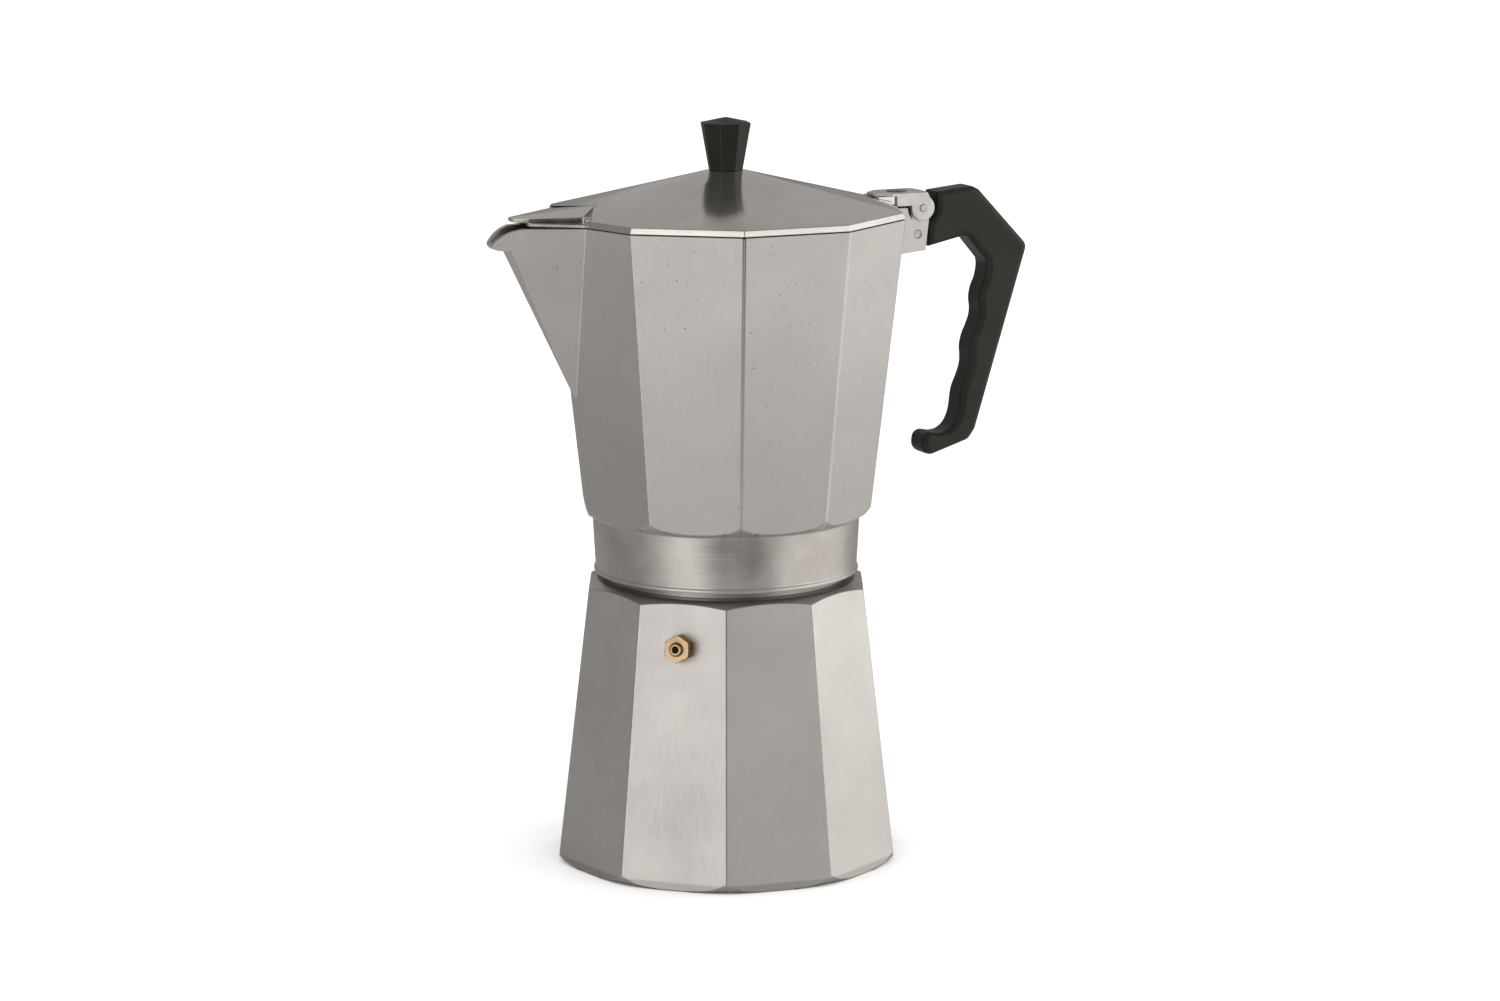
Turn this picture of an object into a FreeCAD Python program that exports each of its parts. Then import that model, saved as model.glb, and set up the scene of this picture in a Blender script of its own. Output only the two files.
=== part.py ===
"""Twelve-cup moka pot: faceted aluminium boiler, funnel and upper chamber, hinged lid, moulded grip.

Millimetres. Origin on the pot's axis at the plane it stands on, +Z up, handle along +X, spout along -X.
"""
import FreeCAD
import Part
import Sketcher

import math
import os
import re

Vector = FreeCAD.Vector
Placement = FreeCAD.Placement
Rotation = FreeCAD.Rotation

doc = FreeCAD.newDocument("moka_pot")
sizes = doc.addObject("Spreadsheet::Sheet", "Sizes")

# Driving dimensions, in mm and degrees.
DIMENSIONS = {
    # boiler
    "facet_count": 10,
    "boiler_twist": -5.7,
    "base_corner": 68.5,
    "base_edge_height": 4.6,
    "foot_inset": 4.0,
    "boiler_corner_height": 108.2,
    "shoulder_ledge": 4.6,
    "shoulder_spread": 5.4,
    "shoulder_rise": 2.5,
    "boiler_wall": 3.2,
    "boiler_floor": 4.0,
    "neck_radius": 46.0,
    "neck_wall": 3.0,
    "neck_rise": 18.8,
    # thread between boiler and upper chamber
    "thread_pitch": 4.0,
    "thread_depth": 1.3,
    "thread_gap": 0.3,
    "thread_root": 1.9,
    "thread_crest": 1.1,
    "thread_bed": 0.2,
    "thread_start": 5.3,
    "boiler_thread_length": 10.0,
    "collar_thread_length": 9.0,
    # funnel
    "fit_gap": 0.3,
    "funnel_wall": 0.9,
    "funnel_rim": 1.2,
    "funnel_depth": 32.0,
    "funnel_cone": 16.0,
    "funnel_stem_radius": 5.6,
    "funnel_stem_low": 10.0,
    "strainer_thickness": 0.8,
    "strainer_lift": 4.0,
    "strainer_hole": 0.9,
    # gasket and filter plate
    "gasket_thickness": 3.2,
    "gasket_lip": 2.5,
    "plate_inset": 7.0,
    "plate_thickness": 1.0,
    "plate_hole": 1.0,
    "hole_rings": 4,
    "hole_ring_share": 0.195,
    # upper chamber
    "collar_gap": 2.8,
    "collar_wall": 5.0,
    "collar_bead": 0.6,
    "collar_height": 21.8,
    "collar_taper": 1.1,
    "chamber_bevel": 4.75,
    "chamber_ledge": 5.45,
    "chamber_height": 112.05,
    "rim_corner": 70.38,
    "chamber_wall": 2.8,
    "chamber_floor": 4.2,
    "plenum_inset": 3.5,
    "plenum_depth": 1.2,
    "boss_radius": 12.0,
    "boss_height": 9.0,
    # spout
    "spout_share": 0.402,
    "spout_step": 0.79,
    "spout_spread": 43.03,
    "spout_flare": 0.3567,
    "spout_wall": 2.8,
    "spout_overhang": 26.72,
    "lip_root_overhang": 19.98,
    "lip_start_overhang": 16.02,
    "lip_depth": 8.6,
    "lip_rise": 2.1,
    # riser column
    "riser_radius": 7.0,
    "riser_top_radius": 5.6,
    "riser_bore": 3.6,
    "riser_drop": 30.1,
    "riser_cap": 4.0,
    "riser_slot": 5.0,
    "riser_window_half": 2.0,
    # lug, hinge and handle
    "hinge_overhang": 10.52,
    "hinge_drop": 0.45,
    "hinge_pin_radius": 1.4,
    "pin_clearance": 0.05,
    "lug_half_width": 6.6,
    "lug_slot_half": 3.9,
    "lug_eye": 4.4,
    "lug_lead": 3.3,
    "lug_depth": 18.5,
    "lug_shoulder_drop": 4.5,
    "grip_pin_back": 1.65,
    "grip_pin_drop": 10.4,
    "grip_pin_radius": 1.6,
    "grip_half_width": 6.6,
    "grip_tongue_half": 3.7,
    "grip_edge": 1.8,
    "finger_radius": 40.0,
    "finger_pitch": 19.5,
    "finger_drop": 24.6,
    "finger_reach": 24.9,
    "finger_lean": 0.196,
    "finger_depth": 1.3,
    "pin_recess": 0.3,
    # lid
    "lid_gap": 0.18,
    "lid_band": 2.36,
    "lid_bevel": 0.78,
    "lid_rise": 17.4,
    "lid_peak_corner": 7.4,
    "lid_wall": 1.6,
    "lid_skirt_depth": 2.2,
    "lid_skirt_gap": 0.6,
    "lid_skirt_wall": 1.6,
    "tab_overhang": 18.42,
    "tab_tip_half": 2.6,
    "tab_tip_height": 3.1,
    "tab_root_inset": 5.38,
    "tab_root_half": 17.0,
    "tab_root_height": 4.2,
    "tab_fold": 7.5,
    "tab_peak_height": 5.2,
    # bracket
    "bracket_half_width": 8.0,
    "bracket_sheet": 1.1,
    "bracket_rise": 5.7,
    "bracket_back": 2.3,
    "bracket_lead": 8.78,
    "bracket_taper": 5.4,
    "ear_setback": 2.5,
    "ear_lift": 0.6,
    "pad_gap": 0.2,
    "bracket_eye": 4.9,
    "rivet_back": 7.9,
    "rivet_radius": 2.0,
    "rivet_head": 4.2,
    # knob
    "knob_low_corner": 6.7,
    "knob_top_corner": 10.0,
    "knob_rise": 18.3,
    "knob_crown": 2.0,
    "knob_twist": 9.0,
    "insert_radius": 3.4,
    "insert_length": 11.0,
    "screw_radius": 2.0,
    "screw_gap": 0.2,
    "screw_head": 4.0,
    "screw_head_height": 2.2,
    # safety valve
    "valve_bearing": -131.7,
    "valve_drop": 15.3,
    "valve_hex_corner": 5.45,
    "valve_hex_height": 6.0,
    "valve_shank": 3.5,
    "valve_length": 8.0,
    "valve_bore": 2.3,
    "valve_seat": 1.2,
    "valve_seat_wall": 1.4,
    "nose_ring": 2.85,
    "nose_ring_height": 0.4,
    "nose_radius": 2.1,
    "nose_length": 1.2,
    "nose_bore": 1.35,
    "nose_shank": 5.4,
    "poppet_head": 1.9,
    "poppet_head_height": 1.2,
    "poppet_stem": 0.8,
    "poppet_stem_length": 3.4,
    "spring_wire": 0.25,
    "spring_radius": 1.45,
    "spring_turns": 5,
}

# Levels and reaches that follow from the driving dimensions.
FOLLOWING = {
    "foot_radius": "base_corner - foot_inset",
    "shoulder_radius": "neck_radius + shoulder_ledge",
    "boiler_top_corner": "shoulder_radius + shoulder_spread",
    "shoulder_height": "boiler_corner_height + shoulder_rise",
    "valve_height": "boiler_corner_height - valve_drop",
    "neck_top": "shoulder_height + neck_rise",
    "thread_low": "shoulder_height + thread_start",
    "plate_radius": "neck_radius - plate_inset",
    "gasket_inner": "plate_radius - gasket_lip",
    "hole_ring_step": "plate_radius * hole_ring_share",
    "plenum_radius": "gasket_inner - plenum_inset",
    "collar_bottom": "shoulder_height + collar_gap",
    "collar_radius": "neck_radius + collar_wall",
    "collar_top": "collar_bottom + collar_height",
    "collar_top_radius": "collar_radius + collar_taper",
    "chamber_low": "collar_top + chamber_bevel",
    "chamber_low_corner": "collar_top_radius + chamber_ledge",
    "rim_height": "chamber_low + chamber_height",
    "spout_low": "chamber_low + spout_share * chamber_height",
    "spout_low_reach": "chamber_low_corner + spout_share * (rim_corner - chamber_low_corner) + spout_step",
    "spout_top_reach": "rim_corner + spout_spread",
    "spout_inner": "chamber_low_corner * 0.78",
    "spout_reach": "rim_corner + spout_overhang",
    "lip_root": "rim_corner + lip_root_overhang",
    "lip_start": "rim_corner + lip_start_overhang",
    "lip_low": "rim_height - lip_depth",
    "lip_height": "lip_low + lip_rise",
    "riser_top": "rim_height - riser_drop",
    "hinge_reach": "rim_corner + hinge_overhang",
    "hinge_height": "rim_height - hinge_drop",
    "lug_reach": "hinge_reach + lug_lead",
    "lug_low": "rim_height - lug_depth",
    "lug_shoulder": "rim_height - lug_shoulder_drop",
    "grip_pin_reach": "hinge_reach - grip_pin_back",
    "grip_pin_height": "hinge_height - grip_pin_drop",
    "finger_first": "rim_height - finger_drop",
    "lid_top_corner": "rim_corner - lid_bevel",
    "lid_peak": "rim_height + lid_rise",
    "tab_reach": "rim_corner + tab_overhang",
    "tab_root_reach": "rim_corner - tab_root_inset",
    "bracket_top": "rim_height + bracket_rise",
    "bracket_tail": "hinge_reach + bracket_back",
    "bracket_nose": "rim_corner - bracket_lead",
    "bracket_shoulder": "bracket_nose + bracket_taper",
    "bracket_ear_start": "bracket_shoulder + ear_setback",
    "bracket_ear_low": "rim_height + ear_lift",
    "rivet_reach": "hinge_reach - rivet_back",
    "knob_shoulder": "lid_peak + knob_rise",
    "knob_peak": "knob_shoulder + knob_crown",
}

for row, (alias, value) in enumerate(DIMENSIONS.items(), start=1):
    sizes.set("A%d" % row, str(value))
    sizes.setAlias("A%d" % row, alias)
doc.recompute()
levels = doc.addObject("App::FeaturePython", "Levels")

WORD = re.compile(r"[a-z][a-z_]*")


def sourced(match):
    """A named size written with the object that holds it."""
    word = match.group()
    if word in DIMENSIONS:
        return "Sizes." + word
    return "Levels." + word if word in FOLLOWING else word


def bound(text):
    """An expression in which every named size is read from its own cell or level."""
    return WORD.sub(sourced, text)


for alias, text in FOLLOWING.items():
    levels.addProperty("App::PropertyFloat", alias)
    levels.setExpression(alias, bound(text))
    doc.recompute()


def size(alias):
    return float(getattr(levels, alias) if alias in FOLLOWING else sizes.get(alias))


# ---------------------------------------------------------------- builders
nodes = {}


def node(name, thing):
    """Gives a finished piece its own name."""
    thing.Label = name
    nodes[name] = thing
    return thing


def bind(thing, **expressions):
    for prop, text in expressions.items():
        thing.setExpression(prop.replace("__", "."), bound(text))
    return thing


def outline(sketch, points):
    """A closed outline of straight edges whose corners are bound to expressions."""
    count = len(points)
    start = [Vector(math.cos(2 * math.pi * i / count), math.sin(2 * math.pi * i / count), 0)
             for i in range(count)]
    for i in range(count):
        sketch.addGeometry(Part.LineSegment(start[i], start[(i + 1) % count]), False)
    for i in range(count):
        sketch.addConstraint(Sketcher.Constraint("Coincident", i, 2, (i + 1) % count, 1))
    for i, (across, along) in enumerate(points):
        place = start[i]
        for kind, text, first in (("DistanceX", across, place.x), ("DistanceY", along, place.y)):
            index = sketch.addConstraint(Sketcher.Constraint(kind, -1, 1, i, 1, first))
            sketch.setExpression("Constraints[%d]" % index, bound(text))
    return sketch


def body_sketch(body, name, role, points):
    sketch = body.newObject("Sketcher::SketchObject", name)
    plane = [f for f in body.Origin.OriginFeatures if f.Role == role][0]
    sketch.AttachmentSupport = (plane, "")
    sketch.MapMode = "FlatFace"
    return outline(sketch, points)


def turned(name, points):
    """A lathe-turned body: an outline of radius and height pairs swept round the Z axis."""
    body = doc.addObject("PartDesign::Body", name)
    sketch = body_sketch(body, name + "_profile", "XZ_Plane", points)
    turn = body.newObject("PartDesign::Revolution", name + "_turn")
    turn.Profile = sketch
    turn.ReferenceAxis = (sketch, ["V_Axis"])
    turn.Angle = 360
    return body


def padded(name, points, thickness, role="XZ_Plane"):
    """A plate body: an outline thickened equally to both sides of its plane."""
    body = doc.addObject("PartDesign::Body", name)
    sketch = body_sketch(body, name + "_profile", role, points)
    pad = body.newObject("PartDesign::Pad", name + "_pad")
    pad.Profile = sketch
    pad.Midplane = True
    bind(pad, Length=thickness)
    return body


def polygon(name, sides, corner, height, twist="0"):
    ring = doc.addObject("Part::RegularPolygon", name)
    bind(ring, Polygon=sides, Circumradius=corner, Placement__Base__z=height,
         Placement__Rotation__Angle=twist)
    return ring


def facets(name, sides, levels, twist="0"):
    """A faceted solid through regular polygons of (corner radius, height)."""
    rings = [polygon("%s_ring%d" % (name, i), sides, corner, height, twist)
             for i, (corner, height) in enumerate(levels)]
    skin = doc.addObject("Part::Loft", name)
    skin.Sections = rings
    skin.Solid = True
    skin.Ruled = True
    return skin


def fuse(name, *things):
    joined = doc.addObject("Part::MultiFuse", name)
    joined.Shapes = list(things)
    return joined


def common(name, *things):
    shared = doc.addObject("Part::MultiCommon", name)
    shared.Shapes = list(things)
    return shared


def cut(name, base, tool):
    rest = doc.addObject("Part::Cut", name)
    rest.Base = base
    rest.Tool = tool
    return rest


def rod(name, radius, length, place):
    """A cylinder on the given placement; the length runs along its own Z axis."""
    bar = doc.addObject("Part::Cylinder", name)
    bar.Placement = place
    bind(bar, Radius=radius, Height=length)
    return bar


ALONG_Y = Rotation(Vector(1, 0, 0), -90)


def cross_rod(name, radius, half_length, reach, height):
    """A cylinder along Y, centred on the pot's middle plane."""
    bar = rod(name, radius, "2 * (%s)" % half_length, Placement(Vector(0, 0, 0), ALONG_Y))
    bind(bar, Placement__Base__x=reach, Placement__Base__y="-(%s)" % half_length,
         Placement__Base__z=height)
    return bar


def ridge(name, low, length, root, crest, phase):
    """A helical thread ridge: a trapezoid swept up a helix from root radius to crest radius."""
    helix = doc.addObject("Part::Helix", name + "_helix")
    bind(helix, Pitch="thread_pitch", Height=length, Radius="neck_radius", Placement__Base__z=low)
    helix.Placement.Rotation = Rotation(Vector(0, 0, 1), phase)
    section = doc.addObject("Sketcher::SketchObject", name + "_section")
    outline(section, [(root, "-thread_root / 2"), (crest, "-thread_crest / 2"),
                      (crest, "thread_crest / 2"), (root, "thread_root / 2")])
    upright = Rotation(Vector(1, 0, 0), 90)
    section.Placement = Placement(Vector(0, 0, 0), Rotation(Vector(0, 0, 1), phase).multiply(upright))
    bind(section, Placement__Base__z=low)
    sweep = doc.addObject("Part::Sweep", name)
    sweep.Sections = [section]
    sweep.Spine = (helix, ["Edge1"])
    sweep.Solid = True
    sweep.Frenet = True
    return sweep


def pierced(name, body, radius, low, high):
    """Cuts rings of small holes through a disc: one at the centre, then six more in each ring."""
    tools = [rod(name + "_hole", radius, "%s - (%s)" % (high, low), Placement())]
    bind(tools[0], Placement__Base__z=low)
    for ring in range(1, DIMENSIONS["hole_rings"] + 1):
        for step in range(6 * ring):
            angle = 360.0 * step / (6 * ring)
            hole = rod("%s_hole_%d_%d" % (name, ring, step), radius, "%s - (%s)" % (high, low), Placement())
            bind(hole, Placement__Base__x="%d * hole_ring_step * cos(%.6f deg)" % (ring, angle),
                 Placement__Base__y="%d * hole_ring_step * sin(%.6f deg)" % (ring, angle),
                 Placement__Base__z=low)
            tools.append(hole)
    return cut(name, body, fuse(name + "_holes", *tools))


FLAT = "cos(180 deg / facet_count)"
# the length of a cutting tool that passes right through a piece
THROUGH = "60"

# ---------------------------------------------------------------- boiler
boiler_slope = "(base_corner - boiler_top_corner) / (boiler_corner_height - base_edge_height)"
boiler_facets = facets("boiler_facets", "facet_count", [
    ("base_corner + %s * base_edge_height" % boiler_slope, "0"),
    ("boiler_top_corner - %s * (shoulder_height - boiler_corner_height)" % boiler_slope,
     "shoulder_height"),
], "boiler_twist")
shoulder_slope = "(shoulder_height - boiler_corner_height) / (boiler_top_corner - shoulder_radius)"
boiler_lathe = turned("boiler_lathe", [
    ("0", "0"),
    ("foot_radius", "0"),
    ("foot_radius + 0.7 * (base_corner - foot_radius)", "0.33 * base_edge_height"),
    ("base_corner + 0.2", "base_edge_height"),
    ("base_corner + 0.2",
     "boiler_corner_height - %s * (base_corner + 0.2 - boiler_top_corner)" % shoulder_slope),
    ("shoulder_radius", "shoulder_height"),
    ("0", "shoulder_height"),
])
neck_bore = "(neck_radius - neck_wall)"
boiler_neck = turned("boiler_neck", [
    ("0", "boiler_corner_height"),
    ("neck_radius", "boiler_corner_height"),
    ("neck_radius", "neck_top"),
    ("0", "neck_top"),
])
boiler_thread = ridge("boiler_thread", "thread_low", "boiler_thread_length",
                      "neck_radius - thread_bed", "neck_radius + thread_depth", 0)
boiler_hollow = turned("boiler_hollow", [
    ("0", "boiler_floor"),
    ("base_corner * %s - boiler_wall - 3" % FLAT, "boiler_floor"),
    ("base_corner * %s - boiler_wall" % FLAT, "boiler_floor + 3"),
    ("boiler_top_corner * %s - boiler_wall + 0.4" % FLAT, "boiler_corner_height - 7"),
    (neck_bore, "shoulder_height - 1"),
    (neck_bore, "neck_top + 1"),
    ("0", "neck_top + 1"),
])

# the safety valve's own axes: outward square to the facet, and up the facet
lean = math.atan(size("base_corner") * math.cos(math.pi / size("facet_count"))
                 * (1 - size("boiler_top_corner") / size("base_corner"))
                 / (size("boiler_corner_height") - size("base_edge_height")))
bearing = math.radians(size("valve_bearing"))
outward = Vector(math.cos(bearing) * math.cos(lean), math.sin(bearing) * math.cos(lean), math.sin(lean))
upward = Vector(-math.cos(bearing) * math.sin(lean), -math.sin(bearing) * math.sin(lean), math.cos(lean))
valve_rise = size("valve_height") - size("base_edge_height")
valve_flat = size("base_corner") * math.cos(math.pi / size("facet_count")) - valve_rise * math.tan(lean)
valve_seat_point = Vector(valve_flat * math.cos(bearing), valve_flat * math.sin(bearing),
                          size("valve_height"))
valve_turn = Rotation(upward, outward.cross(upward), outward, "ZXY")


def on_valve(thing, depth):
    """Places a valve piece at a depth along the valve's axis; zero is the boiler's facet."""
    thing.Placement = Placement(valve_seat_point + outward * depth, valve_turn)
    return thing


valve_hole = on_valve(rod("valve_hole", "valve_shank + pin_clearance", "4 * boiler_wall", Placement()),
                      -3 * size("boiler_wall"))
boiler_solid = fuse("boiler_solid", common("boiler_outside", boiler_facets, boiler_lathe),
                    boiler_neck, boiler_thread)
node("boiler", cut("boiler_part", boiler_solid, fuse("boiler_inside", boiler_hollow, valve_hole)))

# ---------------------------------------------------------------- safety valve
hexagon = doc.addObject("Part::Prism", "valve_hexagon")
hexagon.Polygon = 6
bind(hexagon, Circumradius="valve_hex_corner", Height="valve_hex_height")
on_valve(hexagon, 0)
shank = on_valve(rod("valve_shank_bar", "valve_shank", "valve_length", Placement()), -size("valve_length"))
bore_depth = size("valve_length") - size("valve_seat_wall")
valve_room = on_valve(rod("valve_room", "valve_bore", "valve_length + valve_hex_height", Placement()),
                      -bore_depth)
valve_way = on_valve(rod("valve_way", "valve_seat", "valve_length", Placement()),
                     -size("valve_length") - 1)
node("valve_body", cut("valve_body_part", fuse("valve_body_solid", hexagon, shank),
                       fuse("valve_body_room", valve_room, valve_way)))

nose = turned("valve_nose_part", [
    ("nose_bore", "-nose_shank"),
    ("valve_bore", "-nose_shank"),
    ("valve_bore", "0"),
    ("nose_ring", "0"),
    ("nose_ring", "nose_ring_height"),
    ("nose_radius", "nose_ring_height"),
    ("nose_radius", "nose_ring_height + nose_length"),
    ("nose_bore", "nose_ring_height + nose_length"),
])
node("valve_nose", on_valve(nose, size("valve_hex_height")))

poppet = turned("valve_poppet_part", [
    ("0", "0"),
    ("poppet_head", "0"),
    ("poppet_head", "poppet_head_height"),
    ("poppet_stem", "poppet_head_height"),
    ("poppet_stem", "poppet_head_height + poppet_stem_length"),
    ("0", "poppet_head_height + poppet_stem_length"),
])
node("valve_poppet", on_valve(poppet, -bore_depth))

spring_room = (bore_depth - size("poppet_head_height") + size("valve_hex_height") - size("nose_shank"))
spring_length = spring_room - 2 * size("spring_wire") - 0.1
coil = doc.addObject("Part::Helix", "valve_spring_coil")
coil.Pitch = spring_length / size("spring_turns")
coil.Height = spring_length
coil.SegmentLength = 1
bind(coil, Radius="spring_radius")
wire = doc.addObject("Sketcher::SketchObject", "valve_spring_wire")
wire.addGeometry(Part.Circle(Vector(1, 0, 0), Vector(0, 0, 1), 1), False)
for kind, text, corner in (("DistanceX", "spring_radius", 3), ("DistanceY", "0", 3)):
    index = wire.addConstraint(Sketcher.Constraint(kind, -1, 1, 0, corner, 0.5))
    wire.setExpression("Constraints[%d]" % index, bound(text))
index = wire.addConstraint(Sketcher.Constraint("Radius", 0, 1.0))
wire.setExpression("Constraints[%d]" % index, bound("spring_wire"))
wire.Placement.Rotation = Rotation(Vector(1, 0, 0), 90)
spring = doc.addObject("Part::Sweep", "valve_spring_part")
spring.Sections = [wire]
spring.Spine = (coil, ["Edge%d" % (turn + 1) for turn in range(DIMENSIONS["spring_turns"])])
spring.Solid = True
spring.Frenet = True
node("valve_spring", on_valve(spring, size("poppet_head_height") - bore_depth
                              + size("spring_wire") + 0.05))

# ---------------------------------------------------------------- funnel
cup_radius = "(neck_radius - neck_wall - fit_gap)"
cup_floor = "(neck_top - funnel_depth)"
funnel = turned("funnel_part", [
    ("%s - funnel_wall" % cup_radius, "neck_top + funnel_rim"),
    ("neck_radius - fit_gap / 2", "neck_top + funnel_rim"),
    ("neck_radius - fit_gap / 2", "neck_top"),
    (cup_radius, "neck_top"),
    (cup_radius, cup_floor),
    ("funnel_stem_radius", "%s - funnel_cone" % cup_floor),
    ("funnel_stem_radius", "funnel_stem_low"),
    ("funnel_stem_radius - funnel_wall", "funnel_stem_low"),
    ("funnel_stem_radius - funnel_wall", "%s - funnel_cone + 0.6" % cup_floor),
    ("%s - funnel_wall - 2" % cup_radius, "%s" % cup_floor),
    ("%s - funnel_wall - 2" % cup_radius, "%s + strainer_lift" % cup_floor),
    ("%s - funnel_wall" % cup_radius, "%s + strainer_lift" % cup_floor),
])
node("funnel", funnel)
strainer_low = "(%s + strainer_lift)" % cup_floor
strainer = turned("strainer_disc", [
    ("0", strainer_low),
    ("%s - funnel_wall" % cup_radius, strainer_low),
    ("%s - funnel_wall" % cup_radius, "%s + strainer_thickness" % strainer_low),
    ("0", "%s + strainer_thickness" % strainer_low),
])
node("funnel_strainer", pierced("strainer_part", strainer, "strainer_hole",
                                "%s - 1" % strainer_low,
                                "%s + strainer_thickness + 1" % strainer_low))

# ---------------------------------------------------------------- gasket and filter plate
gasket_low = "(neck_top + funnel_rim)"
seat = "(neck_top + funnel_rim + gasket_thickness)"
thread_bore = "(neck_radius + thread_depth + thread_gap)"
gasket = turned("gasket_part", [
    ("gasket_inner", gasket_low),
    ("%s - fit_gap" % thread_bore, gasket_low),
    ("%s - fit_gap" % thread_bore, seat),
    ("plate_radius", seat),
    ("plate_radius", "%s - plate_thickness" % seat),
    ("gasket_inner", "%s - plate_thickness" % seat),
])
node("gasket", gasket)
plate = turned("plate_disc", [
    ("0", "%s - plate_thickness" % seat),
    ("plate_radius", "%s - plate_thickness" % seat),
    ("plate_radius", seat),
    ("0", seat),
])
node("filter_plate", pierced("plate_part", plate, "plate_hole",
                             "%s - plate_thickness - 1" % seat, "%s + 1" % seat))

# ---------------------------------------------------------------- upper chamber
chamber_slope = "(rim_corner - chamber_low_corner) / (rim_height - chamber_low)"
floor_top = "(%s + chamber_floor)" % seat
chamber_facets = facets("chamber_facets", "facet_count", [
    ("chamber_low_corner - %s * (chamber_low - collar_top)" % chamber_slope, "collar_top"),
    ("rim_corner", "rim_height"),
])
chamber_lathe = turned("chamber_lathe", [
    ("0", "collar_top"),
    ("collar_top_radius", "collar_top"),
    ("chamber_low_corner - 1.9", "chamber_low - 2.6"),
    ("chamber_low_corner + 0.3", "chamber_low + 0.4"),
    ("rim_corner + 1", "chamber_low + 22"),
    ("rim_corner + 1", "rim_height"),
    ("0", "rim_height"),
])
collar = turned("collar", [
    ("%s + 1" % thread_bore, "collar_bottom"),
    ("collar_radius + collar_bead - 0.4", "collar_bottom"),
    ("collar_radius + collar_bead", "collar_bottom + 0.5"),
    ("collar_radius + collar_bead", "collar_bottom + 1.3"),
    ("collar_radius", "collar_bottom + 1.9"),
    ("collar_top_radius", "collar_top"),
    ("collar_top_radius", "%s - 0.2" % floor_top),
    ("riser_radius", "%s - 0.2" % floor_top),
    ("riser_radius", "%s + plenum_depth" % seat),
    ("plenum_radius", "%s + plenum_depth" % seat),
    ("plenum_radius", seat),
    (thread_bore, seat),
    (thread_bore, "collar_bottom + 1"),
])
collar_thread = ridge("collar_thread", "thread_low", "collar_thread_length",
                      "%s + thread_bed" % thread_bore, "neck_radius + thread_gap", 180)

# spout: a wedge with two leaning flanks, shaped in side view by the ridge, the lip and the rim


def wedge(name, shift):
    """The space between the spout's two flanks, their sharp edge moved towards the pot by shift."""
    rings = []
    for end, (edge, height) in enumerate([("spout_low_reach", "spout_low"),
                                          ("spout_top_reach", "rim_height + 1")]):
        flank = "spout_flare * (%s - %s - spout_inner)" % (edge, shift)
        ring = doc.addObject("Sketcher::SketchObject", "%s_ring%d" % (name, end))
        outline(ring, [("%s - %s" % (shift, edge), "0"), ("-spout_inner", flank),
                       ("-spout_inner", "-" + flank)])
        bind(ring, Placement__Base__z=height)
        rings.append(ring)
    skin = doc.addObject("Part::Loft", name)
    skin.Sections = rings
    skin.Solid = True
    skin.Ruled = True
    return skin


spout_side = padded("spout_side", [
    ("-spout_low_reach", "spout_low"),
    ("-lip_root", "lip_low"),
    ("-(spout_reach - 2.2)", "lip_low"),
    ("-(spout_reach - 0.6)", "lip_low + 1.0"),
    ("-spout_reach", "lip_height"),
    ("-(spout_reach - 1.6)", "lip_height + 2.1"),
    ("-(spout_reach - 4.4)", "lip_height + 4.2"),
    ("-(spout_reach - 7.8)", "lip_height + 5.7"),
    ("-lip_start", "rim_height"),
    ("-spout_inner", "rim_height"),
    ("-spout_inner", "spout_low"),
], THROUGH)
channel_side = padded("channel_side", [
    ("-(spout_low_reach - spout_wall - 3)", "spout_low"),
    ("-(lip_root - spout_wall - 0.4)", "lip_low + 1.6"),
    ("-(spout_reach - 5)", "lip_height + 0.2"),
    ("-(spout_reach + 2)", "lip_height + 1.0"),
    ("-(spout_reach + 2)", "rim_height + 1"),
    ("1 - spout_inner", "rim_height + 1"),
    ("1 - spout_inner", "spout_low"),
], THROUGH)
spout = common("spout", wedge("spout_wedge", "0"), spout_side)
channel = common("channel", wedge("channel_wedge", "spout_wall / spout_flare"), channel_side)

# lug: an eye for the lid's pin over a plate that carries the handle's tongue in a slot
lug = padded("lug_plate", [
    ("rim_corner - 8", "lug_low - 0.9"),
    ("lug_reach - 1.4", "lug_low + 1.2"),
    ("lug_reach", "lug_shoulder"),
    ("hinge_reach + 0.9 * lug_eye", "hinge_height"),
    ("hinge_reach - lug_eye", "hinge_height"),
    ("hinge_reach - lug_eye", "lug_shoulder"),
    ("hinge_reach - lug_eye - 1", "lug_shoulder + 1.7"),
    ("hinge_reach - lug_eye - 1.7", "rim_height - 0.3"),
    ("rim_corner - 8", "rim_height - 0.3"),
], "2 * lug_half_width")
eye = cross_rod("lug_eye_bar", "lug_eye", "lug_half_width", "hinge_reach", "hinge_height")
slot = doc.addObject("Part::Box", "lug_slot")
bind(slot, Length=THROUGH, Width="2 * lug_slot_half", Height=THROUGH,
     Placement__Base__x="rim_corner + 3.6", Placement__Base__y="-lug_slot_half",
     Placement__Base__z="lug_low - 5")


def pin_bore(name):
    """The hole for the lid's pin, right across the pot's middle plane."""
    return cross_rod(name, "hinge_pin_radius + pin_clearance", THROUGH + " / 2", "hinge_reach",
                     "hinge_height")


def grip_bore(name):
    """The hole for the pin that holds the handle."""
    return cross_rod(name, "grip_pin_radius + pin_clearance", THROUGH + " / 2", "grip_pin_reach",
                     "grip_pin_height")



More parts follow.
